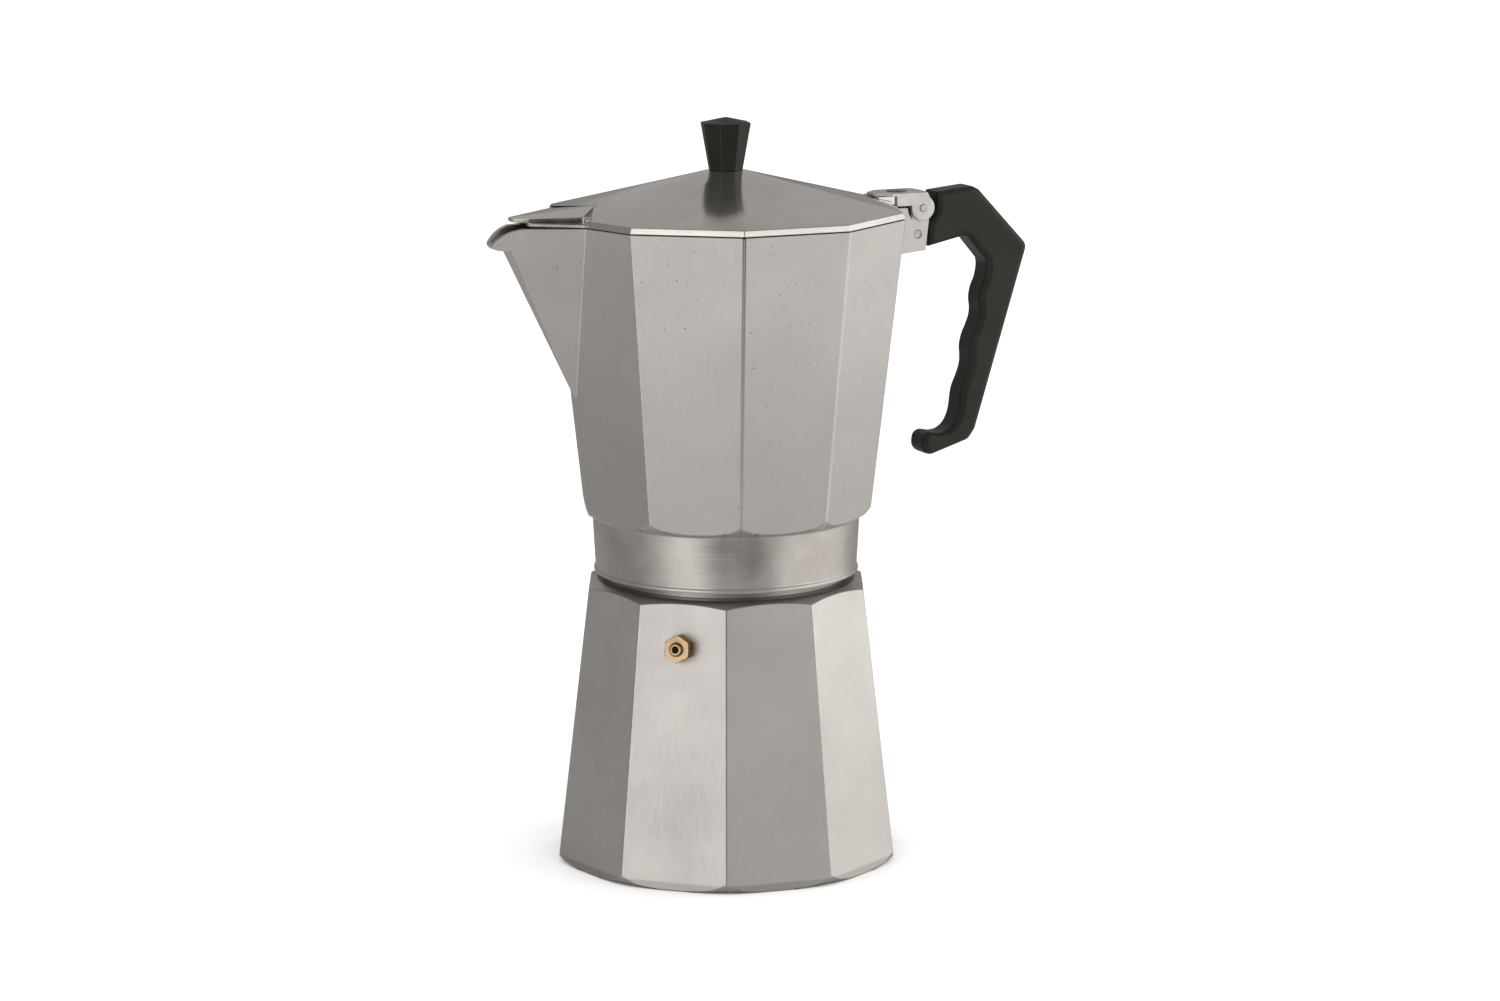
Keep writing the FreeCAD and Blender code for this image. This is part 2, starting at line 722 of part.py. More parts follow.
chamber_hollow = facets("chamber_hollow", "facet_count", [
    ("chamber_low_corner - %s * (chamber_low - %s) - chamber_wall / %s" % (chamber_slope, floor_top, FLAT),
     floor_top),
    ("rim_corner - chamber_wall / %s + %s" % (FLAT, chamber_slope), "rim_height + 1"),
])
riser_hole = rod("riser_hole", "riser_radius", THROUGH, Placement())
bind(riser_hole, Placement__Base__z=seat)
boss = turned("boss", [
    ("0", "%s - 1" % floor_top),
    ("boss_radius", "%s - 1" % floor_top),
    ("boss_radius - 2.5", "%s + boss_height" % floor_top),
    ("0", "%s + boss_height" % floor_top),
])
plenum = turned("plenum", [
    ("0", "%s - 0.5" % seat),
    ("plenum_radius", "%s - 0.5" % seat),
    ("plenum_radius", "%s + plenum_depth" % seat),
    ("0", "%s + plenum_depth" % seat),
])
shell = cut("chamber_shell",
            fuse("chamber_solid", common("chamber_outside", chamber_facets, chamber_lathe), spout, lug, eye),
            fuse("chamber_inside", chamber_hollow, channel, slot, pin_bore("hinge_bore_lug"),
                 grip_bore("grip_bore_lug"), plenum))
shell_boss = fuse("chamber_boss", shell, boss, collar, collar_thread)
node("upper_chamber", cut("chamber_part", shell_boss, riser_hole))

# ---------------------------------------------------------------- riser column
riser_foot = "(%s + plenum_depth)" % seat
riser_stock = turned("riser_stock", [
    ("riser_bore", riser_foot),
    ("riser_radius", riser_foot),
    ("riser_radius", "%s + boss_height + 1" % floor_top),
    ("riser_top_radius", "riser_top - 3"),
    ("riser_top_radius - 2", "riser_top"),
    ("0", "riser_top"),
    ("0", "riser_top - riser_cap"),
    ("riser_bore", "riser_top - riser_cap"),
])
riser_windows = doc.addObject("Part::Box", "riser_windows")
bind(riser_windows, Length="2 * riser_window_half", Width=THROUGH, Height="riser_slot",
     Placement__Base__x="-riser_window_half", Placement__Base__y="-%s / 2" % THROUGH,
     Placement__Base__z="riser_top - riser_cap - riser_slot")
node("riser_tube", cut("riser_part", riser_stock, riser_windows))

# ---------------------------------------------------------------- handle
# the grip's free outline: reach past the lug's end, and height against the lid's pin
GRIP_OUTLINE = [
    (16.8, -12.45), (25.7, -22.35), (24.8, -27.15), (13.2, -85.65), (8.8, -90.15), (-0.8, -89.55),
    (-2.2, -94.05), (-1.3, -97.65), (1.0, -99.55), (17.3, -94.25), (20.8, -91.25), (43.7, -19.05),
    (43.5, -16.25), (22.6, 5.75), (19.4, 7.05),
]
grip = padded("grip_plate", [("lug_reach + 0.4", "lug_low + 2.3")] + [
    ("lug_reach + (%s)" % reach, "hinge_height + (%s)" % rise) for reach, rise in GRIP_OUTLINE
] + [
    ("lug_reach + 3.8", "hinge_height + 5.75"),
    ("lug_reach + 3.8", "hinge_height - 2"),
    ("lug_reach + 0.4", "lug_shoulder - 2.2"),
], "2 * grip_half_width")
FINGERS = 4
rolls = []
for finger in range(FINGERS):
    drop = "%d * finger_pitch" % finger
    reach = "lug_reach + finger_reach + finger_depth - finger_radius - finger_lean * " + drop
    rolls.append(cross_rod("finger_%d" % finger, "finger_radius", THROUGH + " / 2", reach,
                           "finger_first - " + drop))
finger_low = "finger_first - (%d - 0.9) * finger_pitch" % FINGERS
finger_room = common("finger_room", fuse("finger_rolls", *rolls), padded("finger_band", [
    ("lug_reach", finger_low),
    ("lug_reach + finger_radius", finger_low),
    ("lug_reach + finger_radius", "finger_first + 2.1"),
    ("lug_reach", "finger_first + 2.1"),
], THROUGH))
tongue = padded("grip_tongue", [
    ("rim_corner + 4.4", "lug_low + 3.4"),
    ("lug_reach + 3", "lug_low + 3.4"),
    ("lug_reach + 3", "lug_shoulder - 2.2"),
    ("hinge_reach + 3.4", "lug_shoulder - 0.6"),
    ("hinge_reach + 3.6", "hinge_height"),
    ("hinge_reach - 3.6", "hinge_height"),
    ("rim_corner + 4.4", "lug_shoulder - 2"),
], "2 * grip_tongue_half")
tongue_eye = cross_rod("tongue_eye", "3.8", "grip_tongue_half", "hinge_reach", "hinge_height")
tail_sweep = "sqrt((bracket_tail + 1.2 - hinge_reach)^2 + (bracket_top - hinge_height)^2)"
doc.recompute()


def face_edges(thing, half_width):
    """Edges that lie on either flat side of a plate."""
    found = []
    for index, edge in enumerate(thing.Shape.Edges, start=1):
        box = edge.BoundBox
        if box.YLength < 0.01 and abs(abs(box.YMin) - half_width) < 0.01:
            found.append(index)
    return found


grip_soft = doc.addObject("Part::Fillet", "grip_soft")
grip_soft.Base = grip
grip_soft.Edges = [(index, size("grip_edge"), size("grip_edge"))
                   for index in face_edges(grip, size("grip_half_width"))]
tail_room = cross_rod("tail_room", "%s + 0.4" % tail_sweep, THROUGH + " / 2", "hinge_reach", "hinge_height")
grip_blank = cut("grip_blank", grip_soft, fuse("grip_rooms", finger_room, tail_room))
grip_whole = fuse("grip_whole", grip_blank, tongue, tongue_eye)
grip_holes = fuse("grip_holes", grip_bore("grip_bore_tongue"), pin_bore("hinge_bore_tongue"))
node("handle", cut("handle_part", grip_whole, grip_holes))
node("handle_pin", cross_rod("handle_pin_bar", "grip_pin_radius", "lug_half_width - pin_recess",
                             "grip_pin_reach", "grip_pin_height"))
node("hinge_pin", cross_rod("hinge_pin_bar", "hinge_pin_radius", "bracket_half_width + pin_recess",
                            "hinge_reach", "hinge_height"))

# ---------------------------------------------------------------- lid
lid_low = "(rim_height + lid_gap)"
skirt_corner = "(rim_corner - chamber_wall / %s - lid_skirt_gap)" % FLAT
lid_inner = "(%s - lid_skirt_wall)" % skirt_corner
lid_outer = facets("lid_outer", "facet_count", [
    ("rim_corner", lid_low),
    ("lid_top_corner", "%s + lid_band" % lid_low),
    ("lid_peak_corner", "lid_peak"),
])
lid_skirt = facets("lid_skirt", "facet_count", [
    ("%s - 0.3" % skirt_corner, "%s - lid_skirt_depth" % lid_low),
    (skirt_corner, "%s + 0.5" % lid_low),
])
lid_hollow = facets("lid_hollow", "facet_count", [
    (lid_inner, "%s - lid_skirt_depth - 1" % lid_low),
    (lid_inner, "%s + lid_band - 0.5" % lid_low),
    ("lid_peak_corner - 0.6", "lid_peak - lid_wall"),
])


def tab_solid(inset):
    """The lid's beak over the spout: a roof with two flanks that fold back into the lid's facets."""
    base = size("rim_height") + size("lid_gap")
    tip_x = -size("tab_reach") + inset
    tip_y = max(size("tab_tip_half") - inset, 0.4)
    root_x = -size("tab_root_reach")
    root_y = size("tab_root_half") - inset * 1.1
    tip_z = base + size("tab_tip_height") - inset
    root_z = base + size("tab_root_height") - inset
    peak = Vector(root_x + size("tab_fold"), 0, base + size("tab_peak_height") - inset)
    low = base - (size("lid_skirt_depth") + 0.5) * (inset > 0)
    tail = root_x + 2 * size("tab_fold")
    near = [Vector(tip_x, -tip_y, tip_z), Vector(root_x, -root_y, root_z), Vector(tail, -root_y, root_z - 2)]
    upper = near + [Vector(p.x, -p.y, p.z) for p in reversed(near)]
    lower = [Vector(p.x, p.y, low) for p in upper]
    faces = []
    for i in range(6):
        j = (i + 1) % 6
        faces.append([lower[i], lower[j], upper[j], upper[i]])
    faces.append(lower)
    for i in range(6):
        faces.append([upper[i], upper[(i + 1) % 6], peak])
    shells = [Part.Face(Part.makePolygon(corners + [corners[0]])) for corners in faces]
    return Part.makeSolid(Part.makeShell(shells))


tab_outer = doc.addObject("Part::Feature", "tab_outer")
tab_outer.Shape = tab_solid(0.0)
tab_inner = doc.addObject("Part::Feature", "tab_inner")
tab_inner.Shape = tab_solid(size("lid_wall"))
screw_hole = rod("screw_hole", "screw_radius + screw_gap", THROUGH, Placement())
bind(screw_hole, Placement__Base__z="lid_peak - %s / 2" % THROUGH)


def rivet_bore(name):
    """The hole for the rivet, up through the lid's pad and the bracket."""
    bore = rod(name, "rivet_radius", THROUGH, Placement())
    return bind(bore, Placement__Base__x="rivet_reach", Placement__Base__z="rim_height - %s / 2" % THROUGH)


pad_low = "(%s + 0.9)" % lid_low
pad = padded("bracket_pad", [
    ("bracket_nose + 0.5", "bracket_top - bracket_sheet - 1.6"),
    ("bracket_nose + 0.5", "bracket_top - bracket_sheet"),
    ("hinge_reach - bracket_eye - 0.3", "bracket_top - bracket_sheet"),
    ("hinge_reach - bracket_eye - 0.3", pad_low),
    ("rim_corner - 4", pad_low),
], "2 * (bracket_half_width - bracket_sheet - pad_gap)")
lid_solid = fuse("lid_solid", lid_outer, lid_skirt, tab_outer)
lid_shell = cut("lid_shell", lid_solid, fuse("lid_inside", lid_hollow, tab_inner))
lid_padded = fuse("lid_padded", lid_shell, pad)
node("lid", cut("lid_part", lid_padded, fuse("lid_holes", screw_hole, rivet_bore("rivet_bore_lid"))))

# ---------------------------------------------------------------- hinge bracket and rivet
bracket_plate = padded("bracket_plate", [
    ("bracket_nose", "-3"),
    ("bracket_shoulder", "-bracket_half_width"),
    ("bracket_tail - 1", "-bracket_half_width"),
    ("bracket_tail + 0.6", "-bracket_half_width / 2"),
    ("bracket_tail + 1.2", "0"),
    ("bracket_tail + 0.6", "bracket_half_width / 2"),
    ("bracket_tail - 1", "bracket_half_width"),
    ("bracket_shoulder", "bracket_half_width"),
    ("bracket_nose", "3"),
], "bracket_sheet", "XY_Plane")
bind(bracket_plate, Placement__Base__z="bracket_top - bracket_sheet / 2")
ear_plate = padded("ear_plate", [
    ("bracket_ear_start", "bracket_top"),
    ("bracket_ear_start", "bracket_ear_low"),
    ("hinge_reach", "bracket_ear_low"),
    ("hinge_reach + bracket_eye - 0.3", "hinge_height"),
    ("bracket_tail - 0.4", "bracket_top"),
], "2 * bracket_half_width")
ear_eye = cross_rod("ear_eye", "bracket_eye", "bracket_half_width", "hinge_reach", "hinge_height")
ear_gap = padded("ear_gap", [
    ("bracket_ear_start - 5", "hinge_height - 12"),
    ("hinge_reach + 12", "hinge_height - 12"),
    ("hinge_reach + 12", "bracket_top - bracket_sheet"),
    ("bracket_ear_start - 5", "bracket_top - bracket_sheet"),
], "2 * (bracket_half_width - bracket_sheet)")
ears = cut("bracket_ears", fuse("ear_solid", ear_plate, ear_eye), ear_gap)
bracket_tools = fuse("bracket_tools", rivet_bore("rivet_bore_plate"), pin_bore("hinge_bore_ear"))
node("hinge_bracket", cut("bracket_part", fuse("bracket_whole", bracket_plate, ears), bracket_tools))
rivet = turned("rivet_part", [
    ("0", "%s - 0.5" % pad_low),
    ("rivet_radius + 0.5", "%s - 0.5" % pad_low),
    ("rivet_radius + 0.5", pad_low),
    ("rivet_radius", pad_low),
    ("rivet_radius", "bracket_top"),
    ("rivet_head", "bracket_top"),
    ("rivet_head", "bracket_top + 0.3"),
    ("rivet_head - 0.8", "bracket_top + 0.6"),
    ("0", "bracket_top + 0.6"),
])
bind(rivet, Placement__Base__x="rivet_reach")
node("bracket_rivet", rivet)

# ---------------------------------------------------------------- knob
knob_blank = facets("knob_blank", "8", [
    ("knob_low_corner", "lid_peak"),
    ("knob_top_corner", "knob_shoulder"),
    ("0.8", "knob_peak"),
], "knob_twist")
insert_hole = rod("insert_hole", "insert_radius", "insert_length + 1", Placement())
bind(insert_hole, Placement__Base__z="lid_peak - 1")
node("knob", cut("knob_part", knob_blank, insert_hole))
insert = turned("knob_insert_part", [
    ("screw_radius", "lid_peak"),
    ("insert_radius", "lid_peak"),
    ("insert_radius", "lid_peak + insert_length"),
    ("screw_radius", "lid_peak + insert_length"),
])
node("knob_insert", insert)
screw = turned("knob_screw_part", [
    ("0", "lid_peak - lid_wall - screw_head_height"),
    ("screw_head - 0.6", "lid_peak - lid_wall - screw_head_height"),
    ("screw_head", "lid_peak - lid_wall - screw_head_height + 0.8"),
    ("screw_head", "lid_peak - lid_wall"),
    ("screw_radius", "lid_peak - lid_wall"),
    ("screw_radius", "lid_peak + insert_length - 1"),
    ("0", "lid_peak + insert_length - 1"),
])
node("knob_screw", screw)

# ---------------------------------------------------------------- checks and files
doc.recompute()
for thing in doc.Objects:
    if "Invalid" in thing.State or "Error" in thing.State:
        raise RuntimeError("%s did not build: %s" % (thing.Name, thing.State))
os.makedirs("parts", exist_ok=True)
for name, thing in nodes.items():
    shape = thing.Shape
    if shape.isNull() or not shape.isValid() or shape.Volume <= 0:
        raise RuntimeError("%s has no valid solid" % name)
    print("%-16s solids %d  volume %10.1f mm3" % (name, len(shape.Solids), shape.Volume))
for name, thing in nodes.items():
    thing.Shape.exportStep("parts/%s.step" % name)
print("wrote", len(nodes), "nodes")
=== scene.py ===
import math

import bmesh
import bpy
from mathutils import Matrix, Vector


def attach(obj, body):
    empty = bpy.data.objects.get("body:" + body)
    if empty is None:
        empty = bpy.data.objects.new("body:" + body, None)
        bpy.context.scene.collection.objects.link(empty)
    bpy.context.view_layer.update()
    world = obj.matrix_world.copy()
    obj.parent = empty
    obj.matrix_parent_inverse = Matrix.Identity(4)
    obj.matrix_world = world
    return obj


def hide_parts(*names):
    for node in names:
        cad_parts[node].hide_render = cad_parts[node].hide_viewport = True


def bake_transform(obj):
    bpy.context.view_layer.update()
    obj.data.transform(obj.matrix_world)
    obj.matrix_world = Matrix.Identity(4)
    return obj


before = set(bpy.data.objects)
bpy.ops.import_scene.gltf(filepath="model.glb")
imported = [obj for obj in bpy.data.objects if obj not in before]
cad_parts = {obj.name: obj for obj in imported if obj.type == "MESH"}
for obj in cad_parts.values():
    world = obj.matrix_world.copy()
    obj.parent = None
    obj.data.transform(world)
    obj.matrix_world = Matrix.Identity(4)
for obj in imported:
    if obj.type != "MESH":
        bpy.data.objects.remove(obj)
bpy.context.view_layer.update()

# -------- boiler
# The water vessel at the bottom. It is one aluminium casting: ten flats ground on a belt, and a foot,
# shoulder and threaded neck faced on a lathe, so that each flat ends in a shallow arc.
MM = 0.001
SIDES = 10
FLAT_STEP = 360 / SIDES
FLAT = math.cos(math.pi / SIDES)      # a flat's distance from the axis for a corner at 1
SETTLED_EDGE = math.radians(24)       # edges sharper than this are rounded over
SOCKETS = {int: "NodeSocketInt", float: "NodeSocketFloat", tuple: "NodeSocketVector",
           type(None): "NodeSocketMaterial"}


def add(tree, kind, inputs=None, **settings):
    """Adds a node with its settings. Its inputs are values, or other nodes or their outputs to link."""
    made = tree.nodes.new(kind)
    for key, value in settings.items():
        setattr(made, key, value)
    for key, value in (inputs or {}).items():
        if isinstance(value, bpy.types.Node):
            value = value.outputs[0]
        if isinstance(value, bpy.types.NodeSocket):
            tree.links.new(value, made.inputs[key])
        else:
            made.inputs[key].default_value = value
    return made


def math_node(tree, operation, first, second=0.0):
    return add(tree, "ShaderNodeMath", {0: first, 1: second}, operation=operation).outputs[0]


def named_tree(name, inputs, *masks):
    """A tree that puts out masks, or else geometry. Its inputs have first values, or None for a finish."""
    tree = bpy.data.node_groups.new(name, "ShaderNodeTree" if masks else "GeometryNodeTree")
    for label, value in inputs.items():
        socket = tree.interface.new_socket(label, in_out="INPUT", socket_type=SOCKETS[type(value)])
        if value is not None:
            socket.default_value = value
    for label in masks:
        tree.interface.new_socket(label, in_out="OUTPUT", socket_type="NodeSocketFloat")
    if not masks:
        tree.interface.new_socket("Geometry", in_out="OUTPUT", socket_type="NodeSocketGeometry")
    return tree, add(tree, "NodeGroupInput").outputs


def ended(tree, shape, height, turn, finish):
    """Ends a Geometry Nodes tree: its shape is turned, lifted, made real and given its finish."""
    lift = add(tree, "ShaderNodeCombineXYZ", {"Z": height})
    spin = add(tree, "ShaderNodeCombineXYZ", {"Z": turn})
    stood = add(tree, "GeometryNodeTransform", {"Geometry": shape, "Translation": lift, "Rotation": spin})
    real = add(tree, "GeometryNodeRealizeInstances", {"Geometry": stood})
    finished = add(tree, "GeometryNodeSetMaterial", {"Geometry": real, "Material": finish})
    add(tree, "NodeGroupOutput", {"Geometry": finished})


def settled(piece):
    """Turns a piece and its modifiers into one plain mesh."""
    graph = bpy.context.evaluated_depsgraph_get()
    whole = bpy.data.meshes.new_from_object(piece.evaluated_get(graph), depsgraph=graph)
    piece.modifiers.clear()
    piece.data = whole
    return piece


def new_piece(name, mesh=None):
    piece = bpy.data.objects.new(name, mesh or bpy.data.meshes.new(name))
    bpy.context.scene.collection.objects.link(piece)
    return piece


def grown(name, tree, values):
    """The plain mesh that a tree makes from the given inputs."""
    piece = new_piece(name)
    growth = piece.modifiers.new(tree.name, "NODES")
    growth.node_group = tree
    for item in tree.interface.items_tree:
        if item.in_out == "INPUT" and item.name in values:
            growth[item.identifier] = values[item.name]
    return settled(piece)


# A tapered blank with flat sides: the rule that the boiler, chamber, lid, knob and valve all follow.
blank_tree, given = named_tree("faceted_blank", {
    "Sides": SIDES, "Low Corner": 0.06, "Low Height": 0.0, "Top Corner": 0.05, "Top Height": 0.1,
    "Turn": 0.0, "Finish": None})
rise = math_node(blank_tree, "SUBTRACT", given["Top Height"], given["Low Height"])
cone = add(blank_tree, "GeometryNodeMeshCone",
           {"Vertices": given["Sides"], "Radius Top": given["Top Corner"],
            "Radius Bottom": given["Low Corner"], "Depth": rise}, fill_type="NGON")
ended(blank_tree, cone, given["Low Height"], given["Turn"], given["Finish"])


def faceted(name, low, top, sides=SIDES, turn=0.0):
    """A flat-sided blank between two (corner radius, height) pairs in millimetres, turned in degrees."""
    return grown(name, blank_tree, {
        "Sides": sides, "Low Corner": low[0] * MM, "Low Height": low[1] * MM,
        "Top Corner": top[0] * MM, "Top Height": top[1] * MM, "Turn": math.radians(turn)})


def from_bmesh(name, mesh):
    bmesh.ops.recalc_face_normals(mesh, faces=mesh.faces)
    data = bpy.data.meshes.new(name)
    mesh.to_mesh(data)
    mesh.free()
    return new_piece(name, data)


def walled(mesh, low, high):
    """Joins two rings of points by a wall, whose faces narrow to three corners at a pole."""
    for step in range(len(low)):
        after = (step + 1) % len(low)
        corners = [low[step], low[after], high[after], high[step]]
        mesh.faces.new(list(dict.fromkeys(corners)))


def turned(name, outline, steps=240):
    """A closed outline of (radius, height) in millimetres, turned about the axis."""
    mesh = bmesh.new()
    rings = []
    for radius, height in outline:
        if radius == 0:
            rings.append([mesh.verts.new((0, 0, height * MM))] * steps)
            continue
        angles = [math.tau * step / steps for step in range(steps)]
        rings.append([mesh.verts.new((radius * math.cos(a) * MM, radius * math.sin(a) * MM, height * MM))
                      for a in angles])
    for here, there in zip(rings, rings[1:] + rings[:1]):
        if here[0] is not here[1] or there[0] is not there[1]:
            walled(mesh, here, there)
    return from_bmesh(name, mesh)


def worked(piece, operation, *tools):
    """Joins, cuts away or keeps what each tool covers, and takes the tools away."""
    for tool in tools:
        step = piece.modifiers.new("work", "BOOLEAN")
        step.operation = operation
        step.object = tool
        step.solver = "MANIFOLD"
        settled(piece)
        bpy.data.objects.remove(tool)
    return piece


CLOSE = 0.015 * MM                    # points nearer than this are one
LEVEL = math.radians(0.4)             # faces that turn less than this are one flat


def rounded(piece, width, segments=3, angle=SETTLED_EDGE):
    """Rounds a piece's sharp edges, and shades its faces smooth up to them."""
    mesh = bmesh.new()
    mesh.from_mesh(piece.data)
    bmesh.ops.remove_doubles(mesh, verts=mesh.verts, dist=CLOSE)
    bmesh.ops.dissolve_degenerate(mesh, edges=mesh.edges, dist=CLOSE)
    bmesh.ops.dissolve_limit(mesh, angle_limit=LEVEL, verts=mesh.verts, edges=mesh.edges)
    mesh.to_mesh(piece.data)
    mesh.free()
    piece.data.shade_smooth()
    if width:
        edge = piece.modifiers.new("edge", "BEVEL")
        edge.width = width * MM
        edge.segments = segments
        edge.limit_method = "ANGLE"
        edge.angle_limit = angle
        edge.use_clamp_overlap = False
    flats = piece.modifiers.new("flats", "WEIGHTED_NORMAL")
    flats.weight = 100
    flats.keep_sharp = False
    return settled(piece)


def marked(piece, *tests):
    """Numbers each face's finish: the last test that its middle and normal pass, or the first finish."""
    for face in piece.data.polygons:
        for number, test in enumerate(tests, start=1):
            if test(face.center / MM, face.normal):
                face.material_index = number


def fitted(piece, finish, body, node):
    """Gives a piece its finish, and tells the frame what it rides on and stands for."""
    numbers = [face.material_index for face in piece.data.polygons]
    piece.data.materials.clear()
    for material in finish if isinstance(finish, tuple) else (finish,):
        piece.data.materials.append(material)
    piece.data.polygons.foreach_set("material_index", numbers)
    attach(piece, body)
    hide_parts(node)


# Thread ridge: a trapezoid carried up a helix.
ridge_tree, given = named_tree("thread_ridge", {
    "Radius": 0.046, "Turns": 2.5, "Rise": 0.01, "Root Width": 0.002, "Crest Width": 0.001,
    "Depth": 0.0015, "Low": 0.1, "Turn": 0.0, "Finish": None})
helix = add(ridge_tree, "GeometryNodeCurveSpiral",
            {"Resolution": 96, "Rotations": given["Turns"], "Start Radius": given["Radius"],
             "End Radius": given["Radius"], "Height": given["Rise"]})
upright = add(ridge_tree, "GeometryNodeSetCurveNormal", {"Curve": helix}, mode="Z_UP")
section = add(ridge_tree, "GeometryNodeCurvePrimitiveQuadrilateral",
              {"Height": given["Depth"], "Bottom Width": given["Root Width"],
               "Top Width": given["Crest Width"], "Offset": 0.0}, mode="TRAPEZOID")
tipped = add(ridge_tree, "GeometryNodeTransform", {"Geometry": section, "Rotation": (0, 0, math.pi / 2)})
swept = add(ridge_tree, "GeometryNodeCurveToMesh",
            {"Curve": upright, "Profile Curve": tipped, "Fill Caps": True})
ended(ridge_tree, swept, given["Low"], given["Turn"], given["Finish"])

THREAD_LOW, THREAD_DEPTH, THREAD_PITCH = 116.0, 1.5, 4.0
THREAD_WIDE, THREAD_NARROW = 1.9, 1.1


def thread(name, radius, turns, start, inner_width, outer_width):
    """A thread ridge standing out of radius, its inner and outer widths in millimetres."""
    piece = grown(name, ridge_tree, {
        "Radius": (radius + THREAD_DEPTH / 2) * MM, "Turns": turns, "Rise": turns * THREAD_PITCH * MM,
        "Root Width": inner_width * MM, "Crest Width": outer_width * MM, "Depth": THREAD_DEPTH * MM,
        "Low": THREAD_LOW * MM, "Turn": math.radians(start)})
    mesh = bmesh.new()
    mesh.from_mesh(piece.data)
    bmesh.ops.recalc_face_normals(mesh, faces=mesh.faces)
    mesh.to_mesh(piece.data)
    mesh.free()
    return piece


def noise(tree, place, scale, detail=2.0, rough=0.5):
    return add(tree, "ShaderNodeTexNoise",
               {"Vector": place, "Scale": scale, "Detail": detail, "Roughness": rough}).outputs[0]


def ranged(tree, value, low, high, to_low=0.0, to_high=1.0, way="LINEAR"):
    """A value carried from one range to another and held at its ends."""
    return add(tree, "ShaderNodeMapRange",
               {"Value": value, "From Min": low, "From Max": high, "To Min": to_low, "To Max": to_high},
               interpolation_type=way).outputs[0]


# The shared effects of the finishes, as node groups that put out masks and heights. The first is the fine
# parallel scratches: a noise drawn out along the direction of the belt or of the lathe's turn.
grain_group, given = named_tree("metal_grain", {
    "Vector": (0.0, 0.0, 0.0), "Along": 30.0, "Across": 1500.0, "Height Scale": 30.0}, "Mask", "Height")
stretch = add(grain_group, "ShaderNodeCombineXYZ",
              {"X": given["Across"], "Y": given["Across"], "Z": given["Height Scale"]})
drawn = add(grain_group, "ShaderNodeVectorMath", {0: given["Vector"], 1: stretch}, operation="MULTIPLY")
fine = noise(grain_group, drawn, 1.0, 3.0, 0.6)
weight = ranged(grain_group, noise(grain_group, given["Vector"], given["Along"]), 0.35, 0.65, 0.35)
add(grain_group, "NodeGroupOutput",
    {"Mask": fine, "Height": math_node(grain_group, "MULTIPLY", fine, weight)})

# Casting pits: small dark ragged holes in the skin, in a share of the cells.
pit_group, given = named_tree("casting_pits", {
    "Vector": (0.0, 0.0, 0.0), "Density": 170.0, "Size": 0.05, "Share": 0.5}, "Mask", "Height")
cells = add(pit_group, "ShaderNodeTexVoronoi",
            {"Vector": given["Vector"], "Scale": given["Density"]}, feature="F1")
picked = add(pit_group, "ShaderNodeSeparateColor", {"Color": cells.outputs["Color"]})
chosen = math_node(pit_group, "LESS_THAN", picked.outputs["Red"], given["Share"])
ragged = math_node(pit_group, "MULTIPLY", noise(pit_group, given["Vector"], 900.0), 2.0)
reach = math_node(pit_group, "MULTIPLY", given["Size"], ragged)
sized = math_node(pit_group, "MULTIPLY", reach, picked.outputs["Green"])
inside = math_node(pit_group, "LESS_THAN", cells.outputs["Distance"], sized)
pits = math_node(pit_group, "MULTIPLY", inside, chosen)
add(pit_group, "NodeGroupOutput", {"Mask": pits, "Height": math_node(pit_group, "SUBTRACT", 1.0, pits)})

# Cloudiness: broad patches where the skin is duller, oxidised or handled.
cloud_group, given = named_tree("cloudy_skin", {
    "Vector": (0.0, 0.0, 0.0), "Scale": 18.0, "Low": 0.4, "High": 0.65}, "Mask")
cloud = noise(cloud_group, given["Vector"], given["Scale"], 5.0, 0.6)
add(cloud_group, "NodeGroupOutput", {"Mask": ranged(cloud_group, cloud, given["Low"], given["High"])})


def placed(tree, group, **inputs):
    """The outputs of an effect that is placed in a material."""
    return add(tree, "ShaderNodeGroup",
               {key.replace("_", " "): value for key, value in inputs.items()}, node_tree=group).outputs


def blended(tree, factor, first, second):
    """A colour between two colours or colour outputs."""
    first, second = [(*colour, 1.0) if isinstance(colour, tuple) else colour for colour in (first, second)]
    return add(tree, "ShaderNodeMix", {0: factor, 6: first, 7: second}, data_type="RGBA").outputs[2]


def scaled(colour, share):
    return tuple(share * part for part in colour)


def cleared(owner):
    """The empty node tree of a new material or room."""
    owner.use_nodes = True
    owner.node_tree.nodes.clear()
    return owner.node_tree


def new_finish(name):
    """A new material, its empty tree, and the place on the piece."""
    material = bpy.data.materials.new(name)
    tree = cleared(material)
    return material, tree, add(tree, "ShaderNodeTexCoord").outputs["Object"]


def surfaced(tree, colour, roughness, heights, depth, extra):
    """Ends a material: its colour, roughness and relief, whose depth is in millimetres."""
    bump = add(tree, "ShaderNodeBump", {"Height": heights, "Distance": depth * MM})
    shader = add(tree, "ShaderNodeBsdfPrincipled",
                 {"Base Color": colour, "Roughness": roughness, "Normal": bump, **extra})
    add(tree, "ShaderNodeOutputMaterial", {"Surface": shader})


